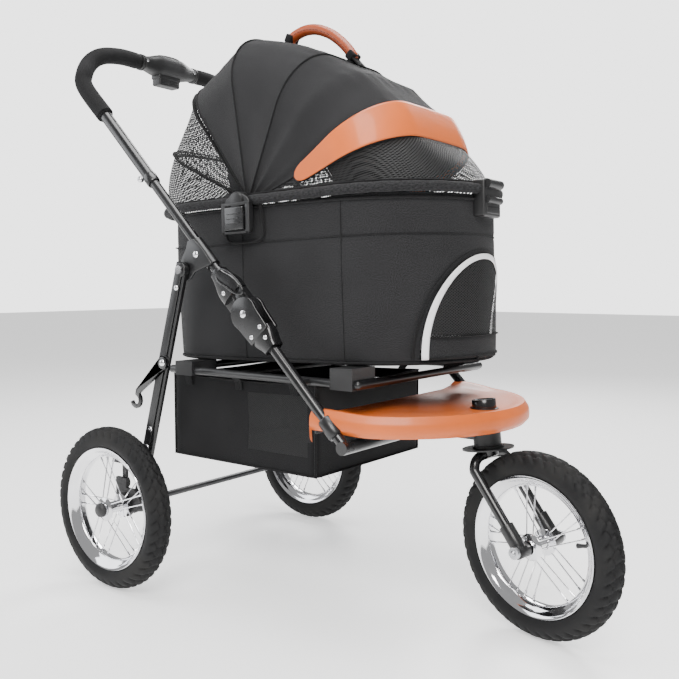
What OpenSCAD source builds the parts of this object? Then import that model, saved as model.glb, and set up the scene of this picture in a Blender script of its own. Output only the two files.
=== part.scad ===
// Three-wheel pet stroller with a lift-off carrier, a folding frame and a swivelling front wheel.
// Units are millimetres. +X is forward, +Y is the stroller's left, +Z is up, the floor is z = 0.

/* [Wheels] */
// Outside radius of the pneumatic tyres
tyre_r = 150; // [125:1:170]
// Width of the tyres
tyre_w = 44; // [36:1:54]
// Outside radius of the rims, where the tyre seats
rim_r = 110; // [90:1:125]
// Number of spokes in each wheel
spoke_count = 14; // [8:2:28]
// Spacing of the rear wheel centre planes
rear_track = 576; // [560:1:620]
// Rear axle position
rear_axle_x = -340; // [-360:1:-290]

/* [Steering] */
// Turn of the front fork, negative to the stroller's right
steer_angle = -13; // [-45:1:45]
// Rake of the steering axis, top backward
rake = 6.7; // [0:0.1:15]
// Distance of the front axle ahead of the steering axis
fork_reach = 83.3; // [60:0.1:110]
// Distance of the front axle below the bearing disc
fork_drop = 152.5; // [140:0.1:180]
// Steering axis position at the bearing disc
steer_x = 279; // [260:0.5:320]

/* [Frame] */
// Side position of the main tubes
tube_y = 230; // [220:1:240]
// Diameter of the lower and inner tubes
tube_d = 18; // [14:0.5:22]
// Diameter of the telescoping outer tube
outer_d = 22; // [18:0.5:26]
// Radial clearance between the telescoping tubes
tube_fit = 0.05; // [0.02:0.01:0.1]
// Height of the fold hinge
hinge_z = 513; // [480:1:540]
// Height of the handle bar
handle_z = 1030; // [980:1:1080]
// Height of the support rails
rail_z = 405; // [395:1:412]
// Width of the rear legs
leg_width = 25; // [18:1:32]

/* [Tray] */
// Radius of the half-round tray
tray_r = 238; // [200:1:250]
// Height of the tray's top face
tray_top = 356; // [340:1:370]
// Thickness of the orange tray cover
tray_cover = 14; // [8:1:20]

/* [Basket] */
// Length of the storage basket
basket_l = 354; // [300:1:370]
// Width of the storage basket
basket_w = 330; // [280:1:360]
// Height of the basket floor
basket_z = 236; // [232:1:260]

/* [Carrier] */
// Upward tilt of the carrier's front
carrier_tilt = 1.4; // [0:0.1:4]
// Half width of the carrier bag
bag_r = 172; // [150:1:176]
// Depth of the carrier bag below the canopy pivot
bag_depth = 278; // [240:1:280]
// Distance from the canopy pivot to the front round's centre
bag_front = 197; // [150:1:230]
// Distance from the canopy pivot to the rear round's centre
bag_rear = 112; // [100:1:150]
// Radius of the tallest canopy bow
canopy_r = 316; // [280:1:330]
// Half width of the canopy
canopy_w = 170.5; // [150:0.5:171]

/* [Part] */
// Which part to show

/* [Hidden] */
$fn = 48;
axle_z = tyre_r;
tyre_minor = tyre_w / 2;
wheel_y = rear_track / 2;
slope_sum = 476 + (rear_axle_x + 330);
hinge_x = slope_sum - hinge_z;
leg_top = [rear_axle_x + 155, 587];
leg_foot = [rear_axle_x + 27, 150];
leg_lean = atan2(leg_top[0] - leg_foot[0], leg_top[1] - leg_foot[1]);
bar_at = [rear_axle_x + 20, 154];
pin_z = 747;
bore_top_z = 938;
inner_top_z = 848;
grip_z = 882;
handle_x = rear_axle_x - 163;
steer_z = 292;
pivot_x = rear_axle_x + 234;
pivot_z = 703;
tray_x = rear_axle_x + 430;
rail_y = 200;
bag_bottom = -bag_depth;
rim_z = 4;
rim_d = 16;
level = 7.5;
leg_y = 251;
leg_t = 12;
bend_proud = 0.4;
cross_z = 312;
rim_rear = bag_rear + 15;
black = [0.09, 0.09, 0.1];
cloth = [0.2, 0.2, 0.21];
orange = [0.88, 0.5, 0.26];
chrome = [0.8, 0.8, 0.82];

// A round bar from a to b.
module rod(a, b, d) {
  v = b - a;
  translate(a) rotate([0, acos(v[2] / norm(v)), atan2(v[1], v[0])]) cylinder(h = norm(v), d = d);
}

// A bent round bar through the points. The balls at the bends stand a little proud of the bar.
module bent(pts, d) {
  for (i = [0:len(pts) - 2]) rod(pts[i], pts[i + 1], d);
  for (i = [1:1:len(pts) - 2]) translate(pts[i]) sphere(d = d + bend_proud);
}

module both_sides() { children(); mirror([0, 1, 0]) children(); }

// A cylinder along Y from y0 to y1, centred on x, z.
module cross(x, z, y0, y1, d) translate([x, y1, z]) rotate([90, 0, 0]) cylinder(h = y1 - y0, d = d);

// A plate standing in the X-Z plane between y0 and y1; its outline is drawn as x, z.
module upright(y0, y1) translate([0, y1, 0]) rotate([90, 0, 0]) linear_extrude(y1 - y0) children();

// Point on the centre line of a main tube at a height.
function on_tube(z, y = tube_y) = [slope_sum - z, y, z];

module in_carrier() translate([pivot_x, 0, pivot_z]) rotate([0, -carrier_tilt, 0]) children();

module in_steer() translate([steer_x, 0, steer_z]) rotate([0, -rake, 0]) children();

module in_fork() in_steer() rotate([0, 0, steer_angle]) children();

module at_front_wheel() in_fork() translate([fork_reach, 0, -fork_drop]) children();

module at_rear_wheel(s) translate([rear_axle_x, s * wheel_y, axle_z]) children();

// ---- wheels, standing on their axle along Y ----
module tyre_ring()
  color(black) rotate([90, 0, 0]) rotate_extrude($fn = 96) difference() {
    translate([tyre_r - tyre_minor, 0]) circle(r = tyre_minor);
    translate([0, -tyre_w]) square([rim_r, 2 * tyre_w]);
  }

module rim_ring()
  rotate([90, 0, 0]) rotate_extrude($fn = 96) union() {
    translate([rim_r - 5, -15]) square([5, 30]);
    translate([rim_r - 14, -7]) square([9.5, 14]);
  }

module spoke(i) {
  a = i * 360 / spoke_count;
  s = i % 2 == 0 ? 1 : -1;
  lead = 12 * (i % 4 < 2 ? 1 : -1);
  rod([17 * cos(a), s * 18, 17 * sin(a)],
      [(rim_r - 14) * cos(a + lead), s * 2, (rim_r - 14) * sin(a + lead)], 2.6);
}

module hub_body(half, bore) difference() {
  union() {
    cross(0, 0, -half, half, 24);
    for (s = [-1, 1]) cross(0, 0, s * 18 - 1.5, s * 18 + 1.5, 42);
  }
  cross(0, 0, -half - 1, half + 1, bore);
}

module hub_and_spokes(half, bore) {
  hub_body(half, bore);
  difference() {
    for (i = [0:spoke_count - 1]) spoke(i);
    cross(0, 0, -30, 30, 24);
  }
}

module tyre_rear_left() at_rear_wheel(1) tyre_ring();
module tyre_rear_right() at_rear_wheel(-1) tyre_ring();
module tyre_front() at_front_wheel() tyre_ring();
module rim_rear_left() color(chrome) at_rear_wheel(1) rim_ring();
module rim_rear_right() color(chrome) at_rear_wheel(-1) rim_ring();
module rim_front() color(chrome) at_front_wheel() rim_ring();
module rear_hub() {
  hub_and_spokes(23.5, 12.1);
  cross(0, 0, 23.5, 35, 26);
}
module hub_rear_left() color(chrome) at_rear_wheel(1) rear_hub();
module hub_rear_right() color(chrome) at_rear_wheel(-1) mirror([0, 1, 0]) rear_hub();
module hub_front() color(chrome) at_front_wheel() hub_and_spokes(23, 10.1);

// ---- front fork ----
module fork_leg_rod(d, from, to) {
  a = [4, 44, -32];
  b = [fork_reach, 44, -fork_drop];
  rod(a + (b - a) * from, a + (b - a) * to, d);
}

module fork_frame() color(black) in_fork() {
  translate([0, 0, -14]) cylinder(h = 11.5, d = 34);
  both_sides() {
    rod([0, 9, -9.6], [2, 28, -13], 14.8);
    translate([2, 28, -13]) rotate([90, 0, 0]) sphere(d = 17.2);
    rod([2, 28, -13], [4, 44, -32], 16);
    translate([4, 44, -32]) sphere(d = 18);
    fork_leg_rod(17, 0, 0.7);
  }
}

module dropout_shape() {
  fork_leg_rod(23, 0.7, 0.97);
  cross(fork_reach, -fork_drop, 24, 54, 25);
}

module fork_dropouts() color(black) in_fork() both_sides() difference() {
  dropout_shape();
  cross(fork_reach, -fork_drop, 20, 60, 10);
}

module front_axle() color(chrome) at_front_wheel() {
  cross(0, 0, -62, 62, 10);
  for (s = [-1, 1]) cross(0, 0, s * 59 - 3, s * 59 + 3, 19);
}

module bearing_disc() color(black) in_steer() difference() {
  translate([0, 0, -2.5]) union() {
    cylinder(h = 2.5, d = 86);
    cylinder(h = 5.5, d = 52);
  }
  translate([0, 0, -5]) cylinder(h = 20, d = 16.1);
}

module steering_head() color(black) in_steer() {
  difference() {
    translate([0, 0, 3.5]) cylinder(h = 29, d = 46);
    translate([0, 0, 2]) cylinder(h = 40, d = 16.1);
  }
}

// ---- tray ----
module half_disc(r, h) intersection() {
  cylinder(h = h, r = r, $fn = 96);
  translate([0, -r, -1]) cube([r + 1, 2 * r, h + 2]);
}

module tube_clearance(extra) both_sides() rod(on_tube(hinge_z), on_tube(cross_z + 4), tube_d + extra);

module tray_shell() color(black) difference() {
  translate([tray_x, 0, tray_top - tray_cover - 18]) half_disc(tray_r - 9, 18);
  translate([tray_x + 6, 0, tray_top - tray_cover - 12]) half_disc(tray_r - 18, 13);
  tube_clearance(0);
  in_steer() translate([0, 0, -2]) cylinder(h = 80, d = 46);
}

module tray_pad() color(orange) difference() {
  translate([tray_x, 0, tray_top - tray_cover]) half_disc(tray_r, tray_cover + 6);
  translate([tray_x + 10, 0, tray_top]) half_disc(tray_r - 20, 20);
  translate([tray_x - 1, -170, tray_top]) cube([tray_r * 0.4, 340, 20]);
  tube_clearance(0);
  in_steer() translate([0, 0, 20]) cylinder(h = 80, d = 46);
}

module swivel_lock_knob() color(black) in_steer() {
  translate([0, 0, 56]) cylinder(h = 24, d = 40);
  translate([0, 0, 18]) cylinder(h = 39, d = 15.4);
}

// ---- lower frame ----
module lower_tubes() color(black) difference() {
  union() {
    both_sides() rod(on_tube(hinge_z - 26), on_tube(cross_z), tube_d);
    cross(slope_sum - cross_z, cross_z, -tube_y - 11, tube_y + 11, tube_d + 3);
    translate([slope_sum - cross_z, -16, cross_z - 8]) cube([steer_x - slope_sum + cross_z, 32, 16]);
  }
  in_steer() translate([0, 0, -5]) cylinder(h = 60, d = 46);
}

module rail_loop() both_sides()
  bent([[rear_axle_x + 70, 0, rail_z], [rear_axle_x + 70, rail_y, rail_z],
        [tray_x + 66, rail_y, rail_z], [tray_x + 66, 0, rail_z]], 14);

module support_frame() color(black) {
  rail_loop();
  cross(pivot_x, rail_z, -rail_y, rail_y, 11);
  both_sides() difference() {
    cross(slope_sum - rail_z, rail_z, rail_y, tube_y, 11);
    rod(on_tube(hinge_z), on_tube(rail_z - 60), tube_d);
  }
}

module dock_blocks() color(black) difference() {
  both_sides() for (x = [rear_axle_x + 110, tray_x + 40])
    translate([x - 22, 148, rail_z - 9]) cube([44, 62, 45]);
  rail_loop();
  in_carrier() translate([-500, -300, bag_bottom]) cube([1000, 600, 200]);
}

module basket() color(cloth) translate([rear_axle_x + 30, 0, 0]) difference() {
  translate([0, -basket_w / 2, basket_z]) cube([basket_l, basket_w, rail_z - 9 - basket_z]);
  translate([3, -basket_w / 2 + 3, basket_z + 4]) cube([basket_l - 6, basket_w - 6, 200]);
}

// ---- fold hinge: the cover carries the knuckle, the socket carries the cheeks ----
module along_slope() translate([hinge_x, 0, hinge_z]) rotate([0, 45, 0]) children();

module hinge_sockets() color(black) both_sides() along_slope() {
  difference() {
    union() {
      for (y = [[215, 221.5], [238.5, 243.5]]) cross(0, 0, y[0], y[1], 58);
      for (y = [[215, 221.5], [238.5, 243.5]]) translate([0, y[0], -24]) cube([50, y[1] - y[0], 48]);
      translate([42, 215, -24]) cube([23, 28.5, 48]);
      translate([64, 215, -18]) cube([12, 28.5, 36]);
    }
    cross(0, 0, 200, 260, 10.1);
    rod([20, tube_y, 0], [90, tube_y, 0], tube_d);
  }
}

module hinge_covers() color(black) both_sides() along_slope() difference() {
  union() {
    cross(0, 0, 222, 238, 58);
    translate([-48, 222, -24]) cube([48, 16, 48]);
    translate([-72, 215, -24]) cube([30, 28.5, 48]);
    translate([-98, 217, -14]) cube([27, 25, 28]);
    cross(0, 0, 213, 246.5 - 2, 10);
  }
  rod([-110, tube_y, 0], [-32, tube_y, 0], tube_d);
}

// ---- upper frame ----
module upper_tubes() color(black) both_sides() rod(on_tube(hinge_z + 23), on_tube(inner_top_z), tube_d);

module leg_brackets() color(black) both_sides() difference() {
  union() {
    rod(on_tube(596), on_tube(634), tube_d + 5);
    upright(tube_y + 9, 243.5) polygon([[leg_top[0] - 14, leg_top[1] - 12], [leg_top[0] + 12, leg_top[1] - 16],
      [slope_sum - 596, 598], [slope_sum - 628, 632], [slope_sum - 640, 624]]);
    cross(leg_top[0], leg_top[1], tube_y + 6, 243.5, 30);
  }
  rod(on_tube(580), on_tube(650), tube_d);
  cross(leg_top[0], leg_top[1], 200, 270, 10);
}

module frame_rivets() color(chrome) both_sides() {
  difference() {
    cross(leg_top[0], leg_top[1], tube_y + 4, 261, 10);
  }
  cross(leg_top[0], leg_top[1], 258.2, 261, 15);
}

// ---- handle ----
function grip_path(s) = [
  [slope_sum - grip_z, s * tube_y, grip_z], [slope_sum - bore_top_z - 6, s * tube_y, bore_top_z + 6],
  [handle_x + 12, s * 222, 972], [handle_x + 4, s * 200, 1001], [handle_x, s * 168, 1022],
  [handle_x, s * 124, handle_z], [handle_x, s * 78, handle_z]];

module handle_tube() color(black) difference() {
  for (s = [-1, 1]) bent(concat([on_tube(pin_z, s * tube_y)], grip_path(s), [[handle_x, 0, handle_z]]), outer_d);
  both_sides() rod(on_tube(pin_z - 5), on_tube(bore_top_z), tube_d + 2 * tube_fit);
  both_sides() pin_hole(10.6);
}

module handle_grips() color(black) difference() {
  for (s = [-1, 1]) bent(grip_path(s), 32);
  for (s = [-1, 1]) bent(concat([on_tube(pin_z, s * tube_y)], grip_path(s), [[handle_x, 0, handle_z]]), outer_d);
}

module control_box() color(black) difference() {
  union() {
    cross(handle_x, handle_z, -56, 56, 42);
    for (s = [-1, 1]) translate([handle_x, s * 56, handle_z]) sphere(d = 42);
    translate([handle_x - 6, -44, handle_z + 6]) rotate([0, 0, 0]) cube([24, 88, 16]);
  }
  cross(handle_x, handle_z, -90, 90, outer_d);
  translate([handle_x - 13.5, -32.5, handle_z - 60]) cube([27, 57, 49 - 0.1]);
}

module fold_trigger() color(black)
  translate([handle_x - 13, -32, handle_z - 40]) cube([26, 56, 22]);

// Snap pins stand square to the tube, on its rear face.
module pin_axis(a, b, d) {
  p = on_tube(pin_z + 22);
  u = [-sqrt(0.5), 0, -sqrt(0.5)];
  rod(p + u * a, p + u * b, d);
}
module pin_hole(d) pin_axis(5, 20, d);
module height_pin() {
  pin_axis(9.4, 22, 8);
  pin_axis(17, 24, 13);
}
module height_pin_left() color(chrome) height_pin();
module height_pin_right() color(chrome) mirror([0, 1, 0]) height_pin();

// ---- rear legs ----
module leg_outline(w) {
  l = norm(leg_top - leg_foot);
  translate(leg_top) rotate(-leg_lean) translate([-w / 2, -l]) square([w, l]);
  translate(leg_top) circle(d = w + 1);
  translate(leg_foot) circle(d = w + 1);
}

module rear_legs() color(black) both_sides() upright(leg_y - leg_t / 2, leg_y + leg_t / 2)
  difference() {
    union() {
      leg_outline(leg_width);
      translate(bar_at) circle(d = leg_width + 7);
    }
    translate(leg_top) circle(d = 10.1);
    translate(bar_at) circle(d = 12);
    translate(hook_at) circle(d = 8);
  }

hook_at = [rear_axle_x + 113, 423];

module rear_axle() color(chrome) {
  cross(bar_at[0], bar_at[1], -leg_y - leg_t / 2, leg_y + leg_t / 2, 12);
  both_sides() {
    cross(rear_axle_x, axle_z, 258, wheel_y + 20, 12);
  }
}

module brake_housings() color(black) both_sides() difference() {
  union() {
    upright(257.1, 263.6) {
      translate([rear_axle_x, axle_z]) circle(r = 24);
      translate([rear_axle_x + 24, axle_z + 10]) circle(r = 22);
      translate([rear_axle_x, axle_z - 12]) square([30, 44]);
      translate([rear_axle_x - 22, axle_z]) square([30, 50]);
    }
  }
  cross(rear_axle_x, axle_z, 250, 270, 12);
  cross(rear_axle_x - 6, axle_z + 40, 250, 270, 8.1);
}

module leg_rivets() color(chrome) both_sides() {
  for (z = [299, 265]) {
    t = (z - leg_foot[1]) / (leg_top[1] - leg_foot[1]);
    cross(leg_foot[0] + t * (leg_top[0] - leg_foot[0]), z, 257, 259.5, 8);
  }
  cross(hook_at[0], hook_at[1], 245, 264.6, 8);
}

module brake_pedal() {
  upright(251, 256.8) {
    difference() {
      union() {
        translate([rear_axle_x - 6, axle_z + 40]) circle(r = 11);
        translate([rear_axle_x - 11, axle_z + 40]) square([10, 40]);
      }
    }
  }
  cross(rear_axle_x - 6, axle_z + 40, 251, 263.4, 8);
  translate([rear_axle_x - 34, 243, axle_z + 76]) cube([44, 18, 7]);
}
module brake_pedal_left() color(black) brake_pedal();
module brake_pedal_right() color(black) mirror([0, 1, 0]) brake_pedal();

module fold_hook() color(black) mirror([0, 1, 0]) upright(257.6, 262.6) difference() {
  union() {
    translate(hook_at) circle(r = 13);
    translate(hook_at) rotate(39) translate([-100, -7]) square([100, 14]);
    translate(hook_at) rotate(39) translate([-104, -9]) circle(r = 16);
  }
  translate(hook_at) circle(d = 8.1);
  translate(hook_at) rotate(39) translate([-104, -9]) circle(r = 8);
  translate(hook_at) rotate(39) translate([-118, 0]) square([16, 18]);
}

// ---- carrier, drawn about the canopy pivot ----
module slot_outline(r) {
  for (x = [-bag_rear, bag_front]) translate([x, 0]) circle(r = r, $fn = 72);
  translate([-bag_rear, -r]) square([bag_front + bag_rear, 2 * r]);
}

module bag_solid(r, z0, z1) translate([0, 0, z0]) linear_extrude(z1 - z0) slot_outline(r);

module rim_path(d) {
  r = bag_r + 8;
  translate([bag_front, 0, rim_z]) rotate([0, 0, -90]) rotate_extrude(angle = 180)
    translate([r, 0]) circle(d = d);
  translate([-rim_rear, 0, rim_z]) rotate([0, 0, 90]) rotate_extrude(angle = 180)
    translate([r, 0]) circle(d = d);
  for (s = [-1, 1]) rod([-rim_rear, s * r, rim_z], [bag_front, s * r, rim_z], d);
}

module carrier_rim() color(black) in_carrier() difference() {
  rim_path(rim_d);
  cross(0, 0, -220, 220, 10);
}

module door_arch(r) translate([0, bag_bottom + 26]) {
  intersection() {
    circle(r = r, $fn = 72);
    translate([-r, -18]) square([2 * r, r + 30]);
  }
}

module forward_prism(x0, x1) translate([x0, 0, 0]) rotate([90, 0, 90]) linear_extrude(x1 - x0) children();

module carrier_bag() color(cloth) in_carrier() difference() {
  bag_solid(bag_r, bag_bottom + 3, -4.5);
  bag_solid(bag_r - 3, bag_bottom, 10);
  forward_prism(bag_front + 40, 420) door_arch(138);
}

module carrier_base() color(cloth) in_carrier() bag_solid(bag_r, bag_bottom, bag_bottom + 3);

module carrier_floor() color(black) in_carrier()
  translate([0, 0, bag_bottom + 3.05]) linear_extrude(6) slot_outline(bag_r - 6);

module carrier_pad() color([0.45, 0.45, 0.47]) in_carrier()
  translate([0, 0, bag_bottom + 9.1]) linear_extrude(28) slot_outline(bag_r - 8);

module side_brackets() color(black) in_carrier() both_sides() difference() {
  union() {
    translate([-33, 182, -54]) cube([66, 20, 60]);
    cross(0, 2, 182, 202, 36);
    cross(0, 0, canopy_w - 4 * level - 2, 190, 10);
  }
  rim_path(rim_d);
  translate([-100, 0, -60]) cube([200, 188.1, 60 - 4]);
  translate([-22.5, 193, -48.5]) cube([45, 20, 41]);
}

module side_latch() translate([-22, 197.5, -48]) cube([44, 11, 40]);
module side_latch_left() color(black) in_carrier() side_latch();
module side_latch_right() color(black) in_carrier() mirror([0, 1, 0]) side_latch();

module front_bracket() color(black) in_carrier() difference() {
  union() {
    translate([bag_front + bag_r - 6, -30, -42]) cube([26, 60, 62]);
    cross(bag_front + bag_r + 20, 12, -24, 24, 16);
    cross(bag_front + bag_r + 20, -14, -24, 24, 12);
  }
  rim_path(rim_d);
  translate([bag_front, 0, -60]) cylinder(h = 100, r = bag_r + 0.3, $fn = 72);
}

module rear_pocket() color(cloth) in_carrier() difference() {
  intersection() {
    bag_solid(bag_r + 18, bag_bottom, -6);
    translate([-400, -105, -190]) cube([300, 210, 130]);
  }
  intersection() {
    bag_solid(bag_r + 15, bag_bottom, -6);
    translate([-400, -102, -187]) cube([300, 204, 140]);
  }
  bag_solid(bag_r + 0.3, bag_bottom, -5);
}

// ---- canopy: nested shells of revolution about the pivot axis ----
module arch(w, r) {
  c = 105;
  translate([0, -w]) square([r - c, 2 * w]);
  translate([0, -(w - c)]) square([r, 2 * (w - c)]);
  for (s = [-1, 1]) translate([r - c, s * (w - c)]) circle(r = c, $fn = 72);
}

module arch_band(w, r, t, from = 16) difference() {
  arch(w, r);
  arch(w - t, r - t);
  translate([-10, -300]) square([10 + from, 600]);
}

// Turns the r, y plane so that 0 degrees points up and positive angles lean forward.
module at_lean(a) rotate([0, a - 90, 0]) rotate([90, 0, 0]) mirror([0, 0, 1]) children();

module fan(w, r, t, a0, a1, from = 16) rotate([0, a1 - 90, 0]) rotate([90, 0, 0])
  rotate_extrude(angle = a1 - a0, $fn = 96) arch_band(w, r, t, from);

module bow(n, a, inset = 2.1) rotate([0, a - 90, 0]) difference() {
  union() {
    translate([0, 0, -3]) linear_extrude(6)
      arch_band(canopy_w - n * level - inset, canopy_r - n * level - inset, 4, 8);
    for (s = [-1, 1]) cross(0, 0, s * (canopy_w - n * level - 4) - 2, s * (canopy_w - n * level - 4) + 2, 24);
  }
  cross(0, 0, -300, 300, 10.1);
}

module panel(n, a0, a1) fan(canopy_w - n * level, canopy_r - n * level, 2, a0, a1);

module panel_top() color(cloth) in_carrier() panel(0, -6, 25);
module bow_top() color(black) in_carrier() bow(0, 24);
module panel_rear() color(cloth) in_carrier() panel(1, -35, -6);
module bow_rear() color(black) in_carrier() bow(1, -8);
module panel_front() color(cloth) in_carrier() panel(2, 25, 61);
module bow_front() color(black) in_carrier() bow(2, 59);
module rear_mesh() color([0.3, 0.3, 0.3]) in_carrier() {
  panel(3, -86, -35);
  bow(3, -64, 1.6);
}

module carry_handle() color([0.7, 0.35, 0.17]) in_carrier() {
  rotate([0, -6 - 90, 0]) rotate([90, 0, 0]) rotate_extrude(angle = -30, $fn = 96)
    translate([canopy_r + 26, 0]) circle(d = 20, $fn = 32);
  for (a = [-5.5, 23.5]) rotate([0, a, 0]) translate([-4, -9, canopy_r + 0.1]) cube([8, 18, 28]);
}

module visor() color(orange) in_carrier()
  fan(canopy_w - 2 * level + 4, canopy_r - 2 * level + 4, 3.9, 46.5, 61.5, 120);

module front_mesh_solid(inset) hull() {
  rotate([0, 62 - 90, 0]) translate([0, 0, -0.5]) linear_extrude(0.5)
    difference() {
      arch(canopy_w - 2 * level - inset, canopy_r - 2 * level - inset);
      translate([-1, -300]) square([60, 600]);
    }
  translate([0, 0, rim_z + 11]) linear_extrude(0.5) intersection() {
    slot_outline(bag_r - 12 - inset);
    translate([60, -300]) square([600, 600]);
  }
}

module front_mesh() color([0.3, 0.3, 0.3]) in_carrier() difference() {
  front_mesh_solid(0);
  front_mesh_solid(2.5);
  translate([50, -canopy_w + 2 * level + 2.5, 0]) cube([140, 2 * (canopy_w - 2 * level - 2.5), 17]);
}

module front_door() color(cloth) in_carrier() {
  intersection() {
    difference() {
      translate([bag_front, 0, bag_bottom]) cylinder(h = 200, r = bag_r + 4, $fn = 96);
      translate([bag_front, 0, bag_bottom - 1]) cylinder(h = 202, r = bag_r + 0.8, $fn = 96);
    }
    forward_prism(bag_front + 60, 420) door_arch(143);
  }
  cross(bag_front + bag_r + 4, bag_bottom + 10, -30, 30, 5);
}

lower_tubes();
hinge_sockets();
support_frame();
dock_blocks();
basket();
tray_shell();
tray_pad();
steering_head();
swivel_lock_knob();
upper_tubes();
hinge_covers();
leg_brackets();
frame_rivets();
handle_tube();
handle_grips();
control_box();
fold_trigger();
height_pin_left();
height_pin_right();
rear_legs();
rear_axle();
brake_housings();
leg_rivets();
brake_pedal_left();
brake_pedal_right();
fold_hook();
tyre_rear_left();
rim_rear_left();
hub_rear_left();
tyre_rear_right();
rim_rear_right();
hub_rear_right();
tyre_front();
rim_front();
hub_front();
fork_frame();
fork_dropouts();
bearing_disc();
front_axle();
carrier_rim();
carrier_bag();
carrier_base();
carrier_floor();
carrier_pad();
side_brackets();
front_bracket();
rear_pocket();
rear_mesh();
bow_rear();
panel_rear();
bow_top();
panel_top();
carry_handle();
bow_front();
panel_front();
visor();
front_mesh();
front_door();
side_latch_left();
side_latch_right();
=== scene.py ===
"""Looks of the folding pet stroller, laid out as a Blender add-on and run as a script.

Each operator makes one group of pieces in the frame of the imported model, in metres:
+X forward, +Y to the stroller's left, +Z up.
"""

import math

import bmesh
import bpy
from bpy.props import FloatProperty, FloatVectorProperty, IntProperty, PointerProperty
from mathutils import Matrix, Vector, noise
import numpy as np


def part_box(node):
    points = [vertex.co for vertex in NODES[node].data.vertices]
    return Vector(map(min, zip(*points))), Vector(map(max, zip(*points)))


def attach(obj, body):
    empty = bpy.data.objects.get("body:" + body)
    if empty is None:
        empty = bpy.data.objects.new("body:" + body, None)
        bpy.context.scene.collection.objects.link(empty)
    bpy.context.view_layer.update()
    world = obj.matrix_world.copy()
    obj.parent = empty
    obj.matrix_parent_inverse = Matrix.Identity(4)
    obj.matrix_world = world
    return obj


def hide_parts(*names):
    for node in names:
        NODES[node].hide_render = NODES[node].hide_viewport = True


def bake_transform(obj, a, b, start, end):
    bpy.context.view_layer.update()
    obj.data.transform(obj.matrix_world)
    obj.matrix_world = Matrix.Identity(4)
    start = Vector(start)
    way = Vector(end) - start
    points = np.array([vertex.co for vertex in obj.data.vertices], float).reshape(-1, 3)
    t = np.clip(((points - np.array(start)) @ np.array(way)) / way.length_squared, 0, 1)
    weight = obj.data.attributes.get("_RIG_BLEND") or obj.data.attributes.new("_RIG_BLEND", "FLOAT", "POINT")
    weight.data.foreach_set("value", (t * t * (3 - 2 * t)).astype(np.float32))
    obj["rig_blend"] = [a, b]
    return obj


bl_info = {
    "name": "Pet stroller",
    "version": (1, 0, 0),
    "blender": (4, 5, 0),
    "location": "View3D > Sidebar > Stroller",
    "description": "Builds the fabric, wheels, frame and fittings of a folding pet stroller",
    "category": "Object",
}

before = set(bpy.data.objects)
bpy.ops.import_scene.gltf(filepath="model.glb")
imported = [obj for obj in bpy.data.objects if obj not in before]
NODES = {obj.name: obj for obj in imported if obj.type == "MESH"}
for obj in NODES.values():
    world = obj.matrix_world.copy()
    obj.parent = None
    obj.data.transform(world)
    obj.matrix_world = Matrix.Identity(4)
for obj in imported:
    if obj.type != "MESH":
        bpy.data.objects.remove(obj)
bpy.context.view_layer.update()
FINISHES = {}


def mm(*values):
    """Millimetres to a vector in metres."""
    return Vector(values) / 1000


# Places shared by several groups. They repeat the part's own layout.
PIVOT = mm(-106, 0, 703)
CARRIER = Matrix.Translation(PIVOT) @ Matrix.Rotation(math.radians(-1.4), 4, "Y")
HINGE = mm(-47, 0, 513)
SLOPE = Matrix.Translation(HINGE) @ Matrix.Rotation(math.radians(45), 4, "Y")
STEER = Matrix.Translation(mm(279, 0, 292)) @ Matrix.Rotation(math.radians(-6.7), 4, "Y")
FORK = STEER @ Matrix.Rotation(math.radians(-13), 4, "Z")
FRONT_WHEEL = FORK @ Matrix.Translation(mm(83.3, 0, -152.5))
LEG_TOP, LEG_FOOT = mm(-185, 0, 587), mm(-313, 0, 150)
BAG_R, BAG_FRONT, BAG_REAR = 0.172, 0.197, 0.112


# ---------------------------------------------------------------- settings
class WheelSettings(bpy.types.PropertyGroup):
    spokes: IntProperty(name="Spokes", description="Spokes in each wheel", default=20, min=8, max=36)
    tread_depth: FloatProperty(
        name="Tread depth", description="Depth of the grooves in the tyre", default=0.0030,
        min=0.0005, max=0.004, unit="LENGTH")
    tread_blocks: IntProperty(
        name="Tread blocks", description="Blocks around each tyre", default=44, min=20, max=80)


class FrameSettings(bpy.types.PropertyGroup):
    grip_radius: FloatProperty(
        name="Grip radius", description="Outside radius of the foam grips", default=0.0162,
        min=0.013, max=0.02, unit="LENGTH")
    paint: FloatVectorProperty(
        name="Paint", description="Colour of the powder coat", default=(0.006, 0.006, 0.0065),
        subtype="COLOR", min=0, max=1)


class FabricSettings(bpy.types.PropertyGroup):
    cloth: FloatVectorProperty(
        name="Cloth", description="Colour of the woven cloth", default=(0.0125, 0.0125, 0.0132),
        subtype="COLOR", min=0, max=1)
    sag: FloatProperty(
        name="Sag", description="How far slack cloth hangs between its seams", default=0.004,
        min=0, max=0.012, unit="LENGTH")
    pad_pressure: FloatProperty(
        name="Pad pressure", description="Filling pressure of the cabin pad", default=4.0, min=0,
        max=10)


class LeatherSettings(bpy.types.PropertyGroup):
    orange: FloatVectorProperty(
        name="Orange leather", description="Colour of the tray and the visor",
        default=(0.66, 0.125, 0.011), subtype="COLOR", min=0, max=1)
    tan: FloatVectorProperty(
        name="Tan leather", description="Colour of the carry handle", default=(0.42, 0.070, 0.014),
        subtype="COLOR", min=0, max=1)


SETTINGS = {
    "stroller_wheels": WheelSettings,
    "stroller_frame": FrameSettings,
    "stroller_fabric": FabricSettings,
    "stroller_leather": LeatherSettings,
}


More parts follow.
